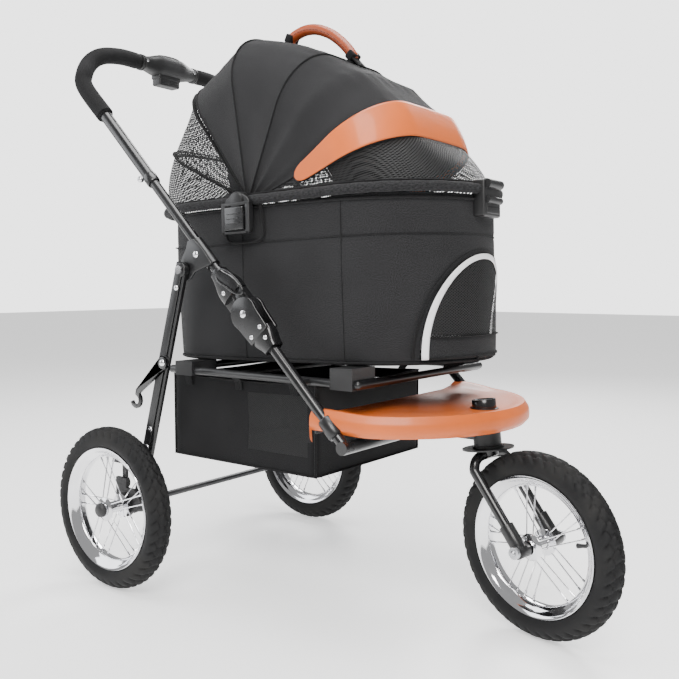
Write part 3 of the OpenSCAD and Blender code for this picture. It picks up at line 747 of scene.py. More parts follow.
class STROLLER_OT_frame(bpy.types.Operator):
    """Makes the leg brackets, rear legs, transport hook and their rivets."""

    bl_idname = "stroller.frame"
    bl_label = "Frame and legs"

    def execute(self, context):
        bm = bmesh.new()
        for side in (1, -1):
            tube(bm, [slope_point(z, side) for z in (594, 600, 615, 630, 636)], 0.0118, 24)
        outline = [(-0.202, 0.570), (-0.190, 0.566), (-0.174, 0.571), (-0.162, 0.583), (-0.120, 0.597),
                   (-0.142, 0.622), (-0.166, 0.641), (-0.180, 0.637), (-0.184, 0.624), (-0.196, 0.606),
                   (-0.203, 0.590)]
        for side in (1, -1):
            low, high = sorted((side * 0.2385, side * 0.2435))
            plate(bm, outline, low, high, 0.0016, 3)
        finish_piece("bracket_plates", bm, "upper_frame", "Satin paint", ("leg_brackets",))

        bm = bmesh.new()
        for side in (1, -1):
            for x, z, y in ((-0.159, 0.6135, 0.2436), (-0.185, 0.587, 0.2576)):
                lathe(bm, [(0, 0.0024), (0.0035, 0.0021), (0.0058, 0.0008), (0.0062, 0)],
                      along_y((x, side * y, z), side), 24)
        finish_piece("bracket_rivets", bm, "upper_frame", "Chrome")

        # The legs: a wide bevelled channel with a narrow strip and a dark gap beside it.
        bm = bmesh.new()
        axis = (LEG_FOOT - LEG_TOP).normalized()
        side_way = Vector((axis.z, 0, -axis.x)) * -1
        for side in (1, -1):
            for low, high, y0, y1 in ((-0.0125, 0.0052, 0.2450, 0.2570), (0.0072, 0.0125, 0.2462, 0.2560)):
                top = LEG_TOP + axis * (-0.0125 if low < 0 else 0.004)
                foot = LEG_FOOT + axis * (0.0125 if low < 0 else -0.002)
                corners = [top + side_way * low, top + side_way * high, foot + side_way * high,
                           foot + side_way * low]
                y_low, y_high = sorted((side * y0, side * y1))
                plate(bm, [(p.x, p.z) for p in corners], y_low, y_high, 0.0028, 4)
            for centre, radius in ((LEG_TOP, 0.0127), (mm(-320, 0, 154), 0.0160)):
                ring = [(centre.x + radius * math.cos(t), centre.z + radius * math.sin(t))
                        for t in (2 * math.pi * k / 28 for k in range(28))]
                y_low, y_high = sorted((side * 0.2452, side * 0.2568))
                plate(bm, ring, y_low, y_high, 0.0018, 3)
        finish_piece("leg_channels", bm, "legs", "Satin paint", ("rear_legs",))

        bm = bmesh.new()
        pivot = mm(-227, 0, 423)
        turn = math.radians(39)

        def hook_point(x, z):
            return (pivot.x + (x * math.cos(turn) - z * math.sin(turn)) / 1000,
                    pivot.z + (x * math.sin(turn) + z * math.cos(turn)) / 1000)

        line = [(0, 0, 12), (-8, 0, 11), (-20, 0, 8), (-50, -0.5, 7), (-80, 0, 6.4), (-90, 0, 6)]
        for k in range(10):
            t = math.radians(38 - k * 27)
            line.append((-104 + 12 * math.cos(t), -9 + 12 * math.sin(t), 4.6 - 0.12 * k))
        left, right = [], []
        for i, (x, z, half) in enumerate(line):
            ax, az, _ = line[min(i + 1, len(line) - 1)]
            bx, bz, _ = line[max(i - 1, 0)]
            way = Vector((ax - bx, az - bz)).normalized()
            left.append(hook_point(x - way.y * half, z + way.x * half))
            right.append(hook_point(x + way.y * half, z - way.x * half))
        cap = [hook_point(12 * math.cos(math.radians(a)), 12 * math.sin(math.radians(a)))
               for a in (60, 30, 0, -30, -60)]
        plate(bm, left + right[::-1] + cap[::-1], -0.2626, -0.2576, 0.0009, 2)
        ring = [hook_point(11 * math.cos(t), 11 * math.sin(t)) for t in (math.pi * k / 12 for k in range(24))]
        plate(bm, ring, -0.2634, -0.2574, 0.0008, 2)
        finish_piece("transport_hook", bm, "hook", "Polished plastic", ("fold_hook",))

        bm = bmesh.new()
        for side in (1, -1):
            for x, z in ((-0.2694, 0.299), (-0.2793, 0.265), (-0.1945, 0.556)):
                lathe(bm, [(0, 0.0026), (0.003, 0.0022), (0.0046, 0.0008), (0.005, 0)],
                      along_y((x, side * 0.2572, z), side), 20)
        lathe(bm, [(0, 0.0030), (0.0042, 0.0026), (0.0062, 0.0009), (0.0066, 0)],
              along_y((pivot.x, -0.2634, pivot.z), -1), 24)
        finish_piece("leg_rivet_heads", bm, "legs", "Chrome")
        return {"FINISHED"}


class STROLLER_OT_hinges(bpy.types.Operator):
    """Makes the two fold hinges: the moving cover, the fixed socket, a pull loop and rivets."""

    bl_idname = "stroller.hinges"
    bl_label = "Fold hinges"

    def shell(self, bm, near, far, halves, thick):
        """A rounded shell along the tube; halves gives the half height at a share of its length."""
        def place(u, v):
            x = near + (far - near) * min(max((v - 0.06) / 0.88, 0), 1)
            close = math.sqrt(max(1 - (1 - min(v, 1 - v) / 0.06) ** 2, 0)) if min(v, 1 - v) < 0.06 else 1
            close = 0.86 + 0.14 * close if 0 < v < 1 else 0.0
            turn = u * 2 * math.pi
            c, s = math.cos(turn), math.sin(turn)
            z = math.copysign(abs(c) ** 0.75, c) * halves((x - near) / (far - near)) * close
            y = math.copysign(abs(s) ** 0.55, s) * thick * close
            return Vector((x, 0.2293 + y, z))
        surface(bm, 40, 24, place, wrap=True)

    def execute(self, context):
        bm = bmesh.new()
        self.shell(bm, -0.098, -0.0425, lambda t: 0.0135 + 0.0118 * ease(t, 0, 0.75), 0.0142)
        ring = [(0.0285 * math.cos(t),
                 0.0285 * math.sin(t)) for t in (2 * math.pi * k / 40 for k in range(40))]
        plate(bm, ring, 0.2222, 0.2378, 0.001)
        plate(bm, [(-0.048, -0.0238), (-0.002, -0.0238), (-0.002, 0.0238), (-0.048, 0.0238)], 0.2222,
              0.2378, 0.001)
        tube(bm, [Vector((-0.101, 0.23, 0)), Vector((-0.097, 0.23, 0)), Vector((-0.090, 0.23, 0))],
             lambda t: 0.0128 if t > 0.3 else 0.0118, 24)
        mirrored(bm)
        finish_piece("hinge_cover_shells", bm, "upper_frame", "Polished plastic",
                     ("hinge_covers",), SLOPE)

        bm = bmesh.new()
        self.shell(bm, 0.0425, 0.079, lambda t: 0.0238 - 0.0085 * ease(t, 0.25, 1), 0.0142)
        cheek = [(0.0288 * math.cos(t), 0.0288 * math.sin(t))
                 for t in (math.radians(90 + 180 * k / 24) for k in range(25))]
        cheek += [(0.014, -0.0262), (0.050, -0.0238), (0.050, 0.0238), (0.014, 0.0262)]
        for low, high in ((0.2150, 0.2214), (0.2386, 0.2436)):
            plate(bm, cheek, low, high, 0.0018, 3)
        mirrored(bm)
        finish_piece("hinge_socket_shells", bm, "chassis", "Polished plastic",
                     ("hinge_sockets",), SLOPE)

        bm = bmesh.new()
        for x, z, y in ((0.040, 0.012, 0.2434), (0.060, 0.008, 0.2426), (0.040, -0.014, 0.2434)):
            lathe(bm, [(0, 0.0022), (0.0028, 0.0018), (0.0040, 0.0006), (0.0043, -0.001)],
                  along_y((x, y, z)), 20)
        mirrored(bm)
        finish_piece("hinge_socket_rivets", bm, "chassis", "Chrome", (), SLOPE)
        bm = bmesh.new()
        lathe(bm, [(0, 0.0022), (0.0028, 0.0018), (0.0040, 0.0006), (0.0043, -0.001)],
              along_y((-0.056, 0.2432, -0.008)), 20)
        lathe(bm, [(0, 0.0016), (0.0046, 0.0013), (0.0062, 0.0004), (0.0066, -0.001)],
              along_y((0, 0.2442, 0)), 24)
        mirrored(bm)
        finish_piece("hinge_cover_rivets", bm, "upper_frame", "Chrome", (), SLOPE)

        bm = bmesh.new()
        leaf = [Vector((-0.096, 0.240, 0.004)), Vector((-0.084, 0.2435, 0.021)),
                Vector((-0.062, 0.2445, 0.029)),
                Vector((-0.036, 0.2445, 0.031)), Vector((-0.024, 0.2452, 0.024)), Vector((-0.036, 0.2468,
                                                            0.013)),
                Vector((-0.060, 0.2466, 0.005)), Vector((-0.082, 0.2450, -0.002))]
        tube(bm, smooth_path(leaf, 6, closed=True), 0.0015, 10, closed=True)
        mirrored(bm)
        finish_piece("hinge_pull_loops", bm, "upper_frame", "Gloss paint", (), SLOPE)
        return {"FINISHED"}


class STROLLER_OT_fork(bpy.types.Operator):
    """Makes the arched front fork with its sleeves and axle ends."""

    bl_idname = "stroller.fork"
    bl_label = "Front fork"

    def execute(self, context):
        bm = bmesh.new()
        low = mm(83.3, 44, -152.5)
        top = mm(4, 44, -32)
        crown = [mm(0, 0, -11), mm(0.5, 10, -11.2), mm(2, 27, -13), mm(3.4, 39, -20), top]
        path = smooth_path(crown, 8) + [top.lerp(low, t) for t in (0.15, 0.4, 0.72)]
        whole = [Vector((p.x, -p.y, p.z)) for p in reversed(path[1:])] + path
        tube(bm, whole, 0.0083, 24)
        lathe(bm, [(0.0, -0.0142), (0.0150, -0.0140), (0.0168, -0.0125), (0.0170, -0.0040), (0.0185, -0.0026),
                   (0.0, -0.0026)], Matrix(), 40)
        finish_piece("fork_arch", bm, "fork", "Gloss paint", ("fork_frame",), FORK)

        bm = bmesh.new()
        start, end = top.lerp(low, 0.69), top.lerp(low, 0.985)
        for side in (1, -1):
            a, b = Vector((start.x, side * start.y, start.z)), Vector((end.x, side * end.y, end.z))
            tube(bm, [a.lerp(b, t) for t in (0, 0.02, 0.05, 0.5, 0.93, 1)],
                 lambda t: 0.0092 if t < 0.1 else (0.0118 if t < 0.9 else 0.0108), 24)
            tube(bm, [mm(83.3, side * y, -152.5) for y in (30, 31, 40, 54, 55.5)],
                 lambda t: 0.0112 if 0.1 < t < 0.9 else 0.0104, 28)
        finish_piece("fork_sleeves", bm, "fork", "Satin paint", ("fork_dropouts",), FORK)

        bm = bmesh.new()
        for side in (1, -1):
            nut = [(0.0098 * math.cos(t),
                    0.0098 * math.sin(t)) for t in (math.radians(60 * k) for k in range(6))]
            y_low, y_high = sorted((side * 0.0562, side * 0.0622))
            plate(bm, [(x + 0.0833, z - 0.1525) for x, z in nut], y_low, y_high, 0.0008)
            lathe(bm, [(0, 0.0042), (0.0030, 0.0036), (0.0046, 0.0016), (0.0050, 0)],
                  along_y((0.0833, side * 0.0622, -0.1525), side), 20)
        finish_piece("fork_axle_nuts", bm, "fork", "Zinc steel", (), FORK)
        return {"FINISHED"}


class STROLLER_OT_handle(bpy.types.Operator):
    """Makes the telescoping handle: tube, foam grips, control box, trigger and snap pins."""

    bl_idname = "stroller.handle"
    bl_label = "Handle"

    def grip_line(self, side):
        points = [slope_point(882, side), slope_point(944, side), mm(-491, side * 222, 974),
                  mm(-499, side * 200, 1003), mm(-503, side * 168, 1022), mm(-503, side * 124, 1030),
                  mm(-503, side * 78, 1030)]
        return smooth_path(points, 8)

    def execute(self, context):
        grip = context.scene.stroller_frame.grip_radius
        bm = bmesh.new()
        right, left = self.grip_line(-1), self.grip_line(1)
        whole = [slope_point(z, -1) for z in (747, 749, 770, 820)] + right
        whole += [mm(-503, y, 1030) for y in (-40, 0, 40)] + left[::-1]
        whole += [slope_point(z, 1) for z in (820, 770, 749, 747)]
        tube(bm, whole, lambda t: 0.011, 24)
        for side in (1, -1):
            tube(bm, [slope_point(z, side) for z in (745, 747, 757, 759)],
                 lambda t: 0.0124 if 0.2 < t < 0.8 else 0.0116, 24)
        finish_piece("handle_bar", bm, "handle", "Gloss paint", ("handle_tube",))

        bm = bmesh.new()
        for line in (right, left):
            def thick(t):
                steps = 0.0112 if t < 0.004 else (0.0150 if t < 0.03 else (0.0138 if t < 0.045 else grip))
                return steps if t < 0.965 else grip - 0.0022 * (t - 0.965) / 0.035
            ends = line[:1] + [line[0].lerp(line[1], k / 6) for k in range(1, 6)] + line[1:]
            tube(bm, ends, thick, 32)
        finish_piece("handle_foam", bm, "handle", "Grip foam", ("handle_grips",))

        bm = bmesh.new()

        def body(u, v):
            y = -0.0745 + 0.149 * v
            t = abs(y) / 0.0745
            size = 0.0138 + 0.0070 * (1 - ease(t, 0.35, 0.95))
            turn = u * 2 * math.pi
            c, s = math.cos(turn), math.sin(turn)
            x = math.copysign(abs(c) ** 0.8, c) * (size + 0.0015)
            z = math.copysign(abs(s) ** 0.8, s) * size
            lift = 0.0035 * (1 - ease(t, 0.2, 0.8)) if s > 0 else 0
            return mm(-503, 0, 1030) + Vector((x, y, z + lift))

        surface(bm, 48, 44, body, wrap=True)
        for y in (-0.0755, -0.0700, 0.0700, 0.0755):
            tube(bm, [mm(-503, 0, 1030) + Vector((0, y + k, 0)) for k in (-0.0018, -0.0012, 0.0012, 0.0018)],
                 lambda t: 0.0166 if 0.2 < t < 0.8 else 0.0156, 32)
        panel = [(0.030 * math.cos(t),
                  0.0105 * math.sin(t)) for t in (2 * math.pi * k / 36 for k in range(36))]
        lift = Matrix.Translation(mm(-503, 4, 1054.2)) @ Matrix.Rotation(math.radians(90), 4, "Z") \
            @ Matrix.Rotation(math.radians(90), 4, "X")
        sub = bmesh.new()
        plate(sub, panel, -0.0012, 0.0012, 0.0006)
        bmesh.ops.transform(sub, matrix=lift, verts=sub.verts)
        helper = bpy.data.meshes.new("panel")
        sub.to_mesh(helper)
        sub.free()
        bm.from_mesh(helper)
        bpy.data.meshes.remove(helper)
        block(bm, mm(-517, -34, 1003), mm(-489, 26, 1016), 0.003, 3)
        finish_piece("control_housing", bm, "handle", "Moulded plastic", ("control_box",))

        bm = bmesh.new()
        for y in (-0.066, 0.066):
            lathe(bm, [(0, 0.0022), (0.0026, 0.0018), (0.0036, 0.0003), (0.0036, -0.001)],
                  Matrix.Translation(mm(-503, 0, 1030) + Vector((0.0145, y, 0.003)))
                  @ Matrix.Rotation(math.radians(78), 4, "Y"), 16)
        finish_piece("control_screws", bm, "handle", "Chrome")

        bm = bmesh.new()
        block(bm, mm(-516, -32, 990), mm(-490, 24, 1012), 0.003, 3)
        block(bm, mm(-491.5, -26, 994), mm(-488.4, -6, 1002), 0.0012, 2)
        block(bm, mm(-491.5, -2, 994), mm(-488.4, 18, 1002), 0.0012, 2)
        finish_piece("trigger_block", bm, "trigger", "Moulded plastic", ("fold_trigger",))

        for side, body_name, node in ((1, "pin_left", "height_pin_left"),
                                      (-1, "pin_right", "height_pin_right")):
            bm = bmesh.new()
            start = slope_point(769, side)
            way = Vector((-1, 0, -1)).normalized()
            tube(bm, [start + way * d / 1000 for d in (9.4, 10, 15, 16, 17.2)],
                 lambda t: 0.0039 if t < 0.8 else 0.0055, 16)
            ball(bm, Matrix.Translation(start + way * 0.0198), 0.0062)
            finish_piece("snap_ball_" + body_name, bm, body_name, "Chrome", (node,))
        return {"FINISHED"}


# ---------------------------------------------------------------- tray and basket
class STROLLER_OT_tray(bpy.types.Operator):
    """Makes the leather-covered front tray, its under-shell and the swivel lock knob."""

    bl_idname = "stroller.tray"
    bl_label = "Tray"

    def execute(self, context):
        centre = mm(90, 0, 0)

        def top_height(share, turn):
            lip = 0.0052 * ease(share, 0.86, 0.955) - 0.0105 * ease(share, 0.965, 1.0)
            dish = -0.0014 * (1 - share ** 2)
            corner = 0.0065 * ease(abs(turn), 1.1, 1.5) * ease(share, 0.72, 0.95)
            return 0.3566 + lip + dish + corner

        bm = bmesh.new()

        def leather(u, v):
            turn = (u - 0.5) * math.pi
            share = min(v / 0.82, 1.0)
            radius = 0.238 * share
            z = top_height(share, turn)
            if v > 0.82:
                fold = (v - 0.82) / 0.18
                radius = 0.238 + 0.0012 * math.sin(fold * math.pi) - 0.005 * ease(fold, 0.7, 1)
                z = top_height(1, turn) - 0.0245 * fold
            return centre + Vector((radius * math.cos(turn), radius * math.sin(turn), z))

        surface(bm, 112, 44, leather, lambda u, v: (u * 0.7, v * 0.25))
        bmesh.ops.remove_doubles(bm, verts=bm.verts, dist=1e-5)
        straight = [edge for edge in bm.edges if edge.is_boundary
                    and abs(sum(vert.co.x for vert in edge.verts) / 2 - centre.x) < 2e-3]
        made = bmesh.ops.extrude_edge_only(bm, edges=straight)
        lower = [g for g in made["geom"] if isinstance(g, bmesh.types.BMVert)]
        bmesh.ops.translate(bm, vec=(0.001, 0, -0.020), verts=lower)
        finish_piece("tray_leather", bm, "chassis", "Orange leather", ("tray_pad",),
                     smooth=50)

        bm = bmesh.new()

        def under(u, v):
            turn = (u - 0.5) * math.pi
            t = v
            radius = 0.2290 - 0.060 * ease(t, 0.12, 0.75) - 0.169 * ease(t, 0.70, 1.0)
            z = 0.3440 - 0.0145 * ease(t, 0, 0.55) - 0.0045 * ease(t, 0.5, 1)
            return centre + Vector((radius * math.cos(turn), radius * math.sin(turn), z))

        surface(bm, 96, 24, under)
        bmesh.ops.remove_doubles(bm, verts=bm.verts, dist=1e-5)
        block(bm, mm(90, -226, 326), mm(94, 226, 343), 0.0015, 2)
        for side in (1, -1):
            tube(bm, [slope_point(z, side) for z in (352, 350, 330, 328)],
                 lambda t: 0.0135 if 0.1 < t < 0.9 else 0.012, 24)
        finish_piece("tray_under_shell", bm, "chassis", "Satin paint", ("tray_shell",))

        bm = bmesh.new()
        for y in (-0.222, 0.222):
            ball(bm, Matrix.Translation((0.098, y, 0.3395)), 0.0042, 0.6)
        finish_piece("tray_screws", bm, "chassis", "Chrome")

        bm = bmesh.new()
        lathe(bm, [(0.0, 0.0790), (0.0160, 0.0790), (0.0172, 0.0800), (0.0190, 0.0800), (0.0200, 0.0788),
                   (0.0200, 0.0575), (0.0192, 0.0562), (0.0080, 0.0560), (0.0077, 0.0200), (0.0, 0.0200)],
              STEER, 48)
        finish_piece("lock_cap", bm, "lock_knob", "Polished plastic", ("swivel_lock_knob",))
        bm = bmesh.new()
        lathe(bm, [(0.0, 0.0), (0.0235, 0.0), (0.0235, 0.0014), (0.0222, 0.0022), (0.0, 0.0022)],
              Matrix.Translation(mm(271.5, 0, 355.8)), 48)
        finish_piece("lock_plate", bm, "chassis", "Moulded plastic")
        return {"FINISHED"}


def rounded_box_line(t, half_x, half_y, corner):
    """A point around a rounded rectangle at a share of its length, and the length so far."""
    straight_x, straight_y = 2 * (half_x - corner), 2 * (half_y - corner)
    arc = math.pi * corner / 2
    length = 2 * (straight_x + straight_y) + 4 * arc
    at = (t % 1) * length
    corners = ((half_x - corner, -half_y + corner, -90), (half_x - corner, half_y - corner, 0),
               (-half_x + corner, half_y - corner, 90), (-half_x + corner, -half_y + corner, 180))
    runs = (straight_x, straight_y, straight_x, straight_y)
    starts = ((-half_x + corner, -half_y), (half_x, -half_y + corner), (half_x - corner, half_y),
              (-half_x, half_y - corner))
    ways = ((1, 0), (0, 1), (-1, 0), (0, -1))
    for run, (sx, sy), (wx, wy), (cx, cy, begin) in zip(runs, starts, ways, corners):
        if at <= run:
            return sx + wx * at, sy + wy * at
        at -= run
        if at <= arc:
            angle = math.radians(begin) + at / corner
            return cx + corner * math.cos(angle), cy + corner * math.sin(angle)
        at -= arc
    return starts[0]


class STROLLER_OT_basket(bpy.types.Operator):
    """Makes the storage basket with mesh sides, cloth ends, hems and hanging tabs."""

    bl_idname = "stroller.basket"
    bl_label = "Basket"

    def execute(self, context):
        sag = context.scene.stroller_fabric.sag
        low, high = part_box("basket")
        middle = (low + high) / 2
        half_x, half_y, corner = 0.1765, 0.1645, 0.012
        round_length = 4 * (half_x + half_y) - 8 * corner + 2 * math.pi * corner
        top, bottom = high.z - 0.002, low.z - 0.001

        def wall(u, v, proud=0.0):
            x, y = rounded_box_line(u, half_x, half_y, corner)
            hang = math.sin(v * math.pi)
            pull_x, pull_y = math.cos(x / half_x * math.pi / 2), math.cos(y / half_y * math.pi / 2)
            if abs(abs(y) - half_y) < corner:
                y -= math.copysign(sag * 1.3 * hang * pull_x, y)
            if abs(abs(x) - half_x) < corner:
                x -= math.copysign(sag * 1.1 * hang * pull_y, x)
            drop = sag * 1.2 * v * (pull_x if abs(abs(y) - half_y) < corner else pull_y)
            z = bottom + (top - bottom) * v - drop
            bulge = ripple(x * 3, y * 3, z * 3, 6, sag * 0.5) * hang
            out = Vector((x, y, 0)).normalized() * (proud + bulge)
            return Vector((middle.x + x, y, z)) + out

        def around(u, v):
            return (u * round_length, v * (top - bottom))

        bm = bmesh.new()
        surface(bm, 200, 24, wall, around, wrap=True)
        for face in bm.faces:
            place = face.calc_center_median()
            on_side = abs(abs(place.y) - half_y) < 0.012
            inside = middle.x + 0.02 < place.x < high.x - 0.016 and bottom + 0.030 < place.z < top - 0.022
            face.material_index = 1 if on_side and inside else 0
        basket = finish_piece("basket_walls", bm, "chassis", ["Lining", "Fine net"], ("basket",),
                              recalc=False, smooth=60)

        bm = bmesh.new()

        def floor(u, v):
            x, y = (u - 0.5) * 2 * (half_x - 0.001), (v - 0.5) * 2 * (half_y - 0.001)
            slack = math.cos(x / half_x * math.pi / 2) * math.cos(y / half_y * math.pi / 2)
            return Vector((middle.x + x, y, bottom + 0.0004 - sag * 0.9 * slack))

        surface(bm, 36, 36, floor, lambda u, v: (u * 0.35, v * 0.33))
        panel = finish_piece("basket_floor_cloth", bm, "chassis", "Lining", recalc=False)

        bm = bmesh.new()
        count = 160
        for v, width in ((0.995, 0.010), (0.012, 0.006)):
            path = [wall(k / count, v, 0.0006) for k in range(count)]
            strap(bm, path, width, 0.0016, Vector((0, 0, 1)), closed=True)
        for x, y in ((half_x, half_y), (half_x, -half_y), (-half_x, half_y), (-half_x, -half_y)):
            turned = [Vector((middle.x + x * 0.985, y * 0.985,
                              bottom + (top - bottom) * k / 8)) for k in range(9)]
            tube(bm, turned, 0.0024, 10)
        finish_piece("basket_binding", bm, "chassis", "Webbing")

        bm = bmesh.new()
        for x in (-0.13, 0.0, 0.13):
            for side in (1, -1):
                path = [Vector((middle.x + x, side * (half_y + 0.001), top - 0.022)),
                        Vector((middle.x + x, side * (half_y + 0.006), top - 0.004)),
                        Vector((middle.x + x, side * 0.186, 0.4005)), Vector((middle.x + x, side * 0.1925,
                                                            0.4095))]
                strap(bm, smooth_path(path, 5), 0.018, 0.0014,
                      Vector((0, side * 0.6, 0.8)).cross(Vector((1, 0, 0))))
        finish_piece("basket_tabs", bm, "chassis", "Webbing")
        return {"FINISHED"}


# ---------------------------------------------------------------- carrier
def stadium(t, radius, front=BAG_FRONT, rear=-BAG_REAR):
    """A point round an oval slot, starting at the middle of the rear and running by the right side."""
    straight = front - rear
    arc = math.pi * radius
    length = 2 * straight + 2 * arc
    at = (t % 1) * length
    if at <= arc / 2:
        angle = math.pi + at / radius
        return rear + radius * math.cos(angle), radius * math.sin(angle)
    at -= arc / 2
    if at <= straight:
        return rear + at, -radius
    at -= straight
    if at <= arc:
        angle = -math.pi / 2 + at / radius
        return front + radius * math.cos(angle), radius * math.sin(angle)
    at -= arc
    if at <= straight:
        return front - at, radius
    angle = math.pi / 2 + (at - straight) / radius
    return rear + radius * math.cos(angle), radius * math.sin(angle)


def stadium_length(radius, front=BAG_FRONT, rear=-BAG_REAR):
    return 2 * (front - rear) + 2 * math.pi * radius


def bag_radius(z, sag):
    """Radius of the bag's wall at a height below the rim, hanging a little fuller at mid height."""
    t = min(max(-z / 0.275, 0), 1)
    seam = 0.0012 * math.exp(-((z + 0.069) / 0.004) ** 2)
    return BAG_R - 0.004 * t + sag * 0.55 * math.sin(t * math.pi) - seam


def in_arch(y, z, half=0.118, top=-0.105, foot=-0.268):
    """True inside the front door's arch."""
    if z < foot or z > top:
        return False
    return abs(y / half) ** 2.2 + abs((z - foot) / (top - foot)) ** 2.2 < 1


def arch_line(half, top, foot=-0.268, steps=48, power=2.2):
    """Points (y, z) up one side of the door's arch, over its top and down the other."""
    line = []
    for k in range(steps + 1):
        turn = math.pi * k / steps
        c, s = math.cos(turn), math.sin(turn)
        line.append((-math.copysign(abs(c) ** (2 / power), c) * half, foot + (top - foot) * s ** (2 / power)))
    return line


def on_front(y, z, radius):
    """A point on the bag's round front."""
    return Vector((BAG_FRONT + math.sqrt(max(radius * radius - y * y, 0)), y, z))


class STROLLER_OT_bag(bpy.types.Operator):
    """Makes the carrier's bag with its seams, base, rim sleeve and piping."""

    bl_idname = "stroller.bag"
    bl_label = "Carrier bag"

    def execute(self, context):
        sag = context.scene.stroller_fabric.sag
        length = stadium_length(BAG_R)
        bm = bmesh.new()

        def wall(u, v):
            z = -0.276 + 0.2715 * v
            x, y = stadium(u, bag_radius(z, sag))
            soft = ripple(x * 2, y * 2, z * 3, 7, sag * 0.35) * math.sin(v * math.pi)
            out = Vector((x - min(max(x, -BAG_REAR), BAG_FRONT), y, 0)).normalized()
            curl = 0.006 * max(0, 1 - v / 0.03) ** 2
            return Vector((x, y, z)) + out * (soft - curl)

        surface(bm, 360, 70, wall, lambda u, v: (u * length, v * 0.2715), wrap=True)
        gone = [f for f in bm.faces if f.calc_center_median().x > BAG_FRONT
                and in_arch(f.calc_center_median().y, f.calc_center_median().z)]
        bmesh.ops.delete(bm, geom=gone, context="FACES")
        bag = finish_piece("bag_wall", bm, "carrier", "Woven cloth", ("carrier_bag",), CARRIER,
                           recalc=False, smooth=60)

        bm = bmesh.new()

        outline = [stadium(k / 96, 0.1668) for k in range(96)]
        bm.faces.new([bm.verts.new((x, y, -0.2768)) for x, y in outline])
        base_piece = finish_piece("bag_base", bm, "carrier", "Lining", ("carrier_base",), CARRIER,
                                  recalc=False, smooth=60)
        base_piece.data.flip_normals()

        bm = bmesh.new()
        count = 200
        sleeve = [Vector((*stadium(k / count, 0.180, BAG_FRONT, -0.127), 0.004)) for k in range(count)]

        def puff(t):
            x, y = stadium(t, 0.180, BAG_FRONT, -0.127)
            collar = 0.0012 * sum(math.exp(-((x - at) / 0.004) ** 2) for at in (-0.040, 0.040)) \
                if abs(y) > 0.17 else 0
            return 0.0084 + collar + 0.0003 * math.sin(t * 260)

        tube(bm, sleeve, puff, 20, closed=True)
        finish_piece("rim_sleeve", bm, "carrier", "Woven cloth", ("carrier_rim",), CARRIER, smooth=0)

        bm = bmesh.new()
        for z, radius, off in ((-0.0075, 0.0022, 0.0025), (-0.0690, 0.0011, 0.0006),
                               (-0.2735, 0.0024, 0.000)):
            path = []
            for k in range(count):
                x, y = stadium(k / count, bag_radius(z, sag) + off)
                drop = 0.005 * ease(x, 0.05, 0.33) if z > -0.02 else 0
                path.append(Vector((x, y, z - drop)))
            if z < -0.02 and z > -0.1:
                keep = [p for p in path if not (p.x > BAG_FRONT and in_arch(p.y, p.z, 0.124, -0.099))]
                start = next(i for i, p in enumerate(path) if p not in keep) if len(keep) < len(path) else 0
                path = path[start:] + path[:start]
                if start:
                    tube(bm, [p for p in path if p in keep], radius, 8)
                else:
                    tube(bm, path, radius, 8, closed=True)
            else:
                tube(bm, path, radius, 8, closed=True)
        for side in (1, -1):
            for x in (-0.011, 0.206):
                line = [Vector((x, side * (bag_radius(z, sag) + 0.0002), z))
                        for z in (-0.012 - 0.262 * k / 20 for k in range(21))]
                tube(bm, line, 0.0009, 8)
        finish_piece("bag_seams", bm, "carrier", "Thread", (), CARRIER)

        bm = bmesh.new()
        line = arch_line(0.1255, -0.0975)
        strap(bm, [on_front(y, z, bag_radius(z, sag) + 0.0008) for y, z in line], 0.012, 0.0016,
              Vector((1, 0, 0)))
        foot = [on_front(y, -0.268,
                         bag_radius(-0.268, sag) + 0.0006) for y in (k / 100 for k in range(-12, 13))]
        strap(bm, foot, 0.010, 0.0016, Vector((0, 0, 1)))
        finish_piece("door_zip_tape", bm, "carrier", "Webbing", (), CARRIER)
        return {"FINISHED"}


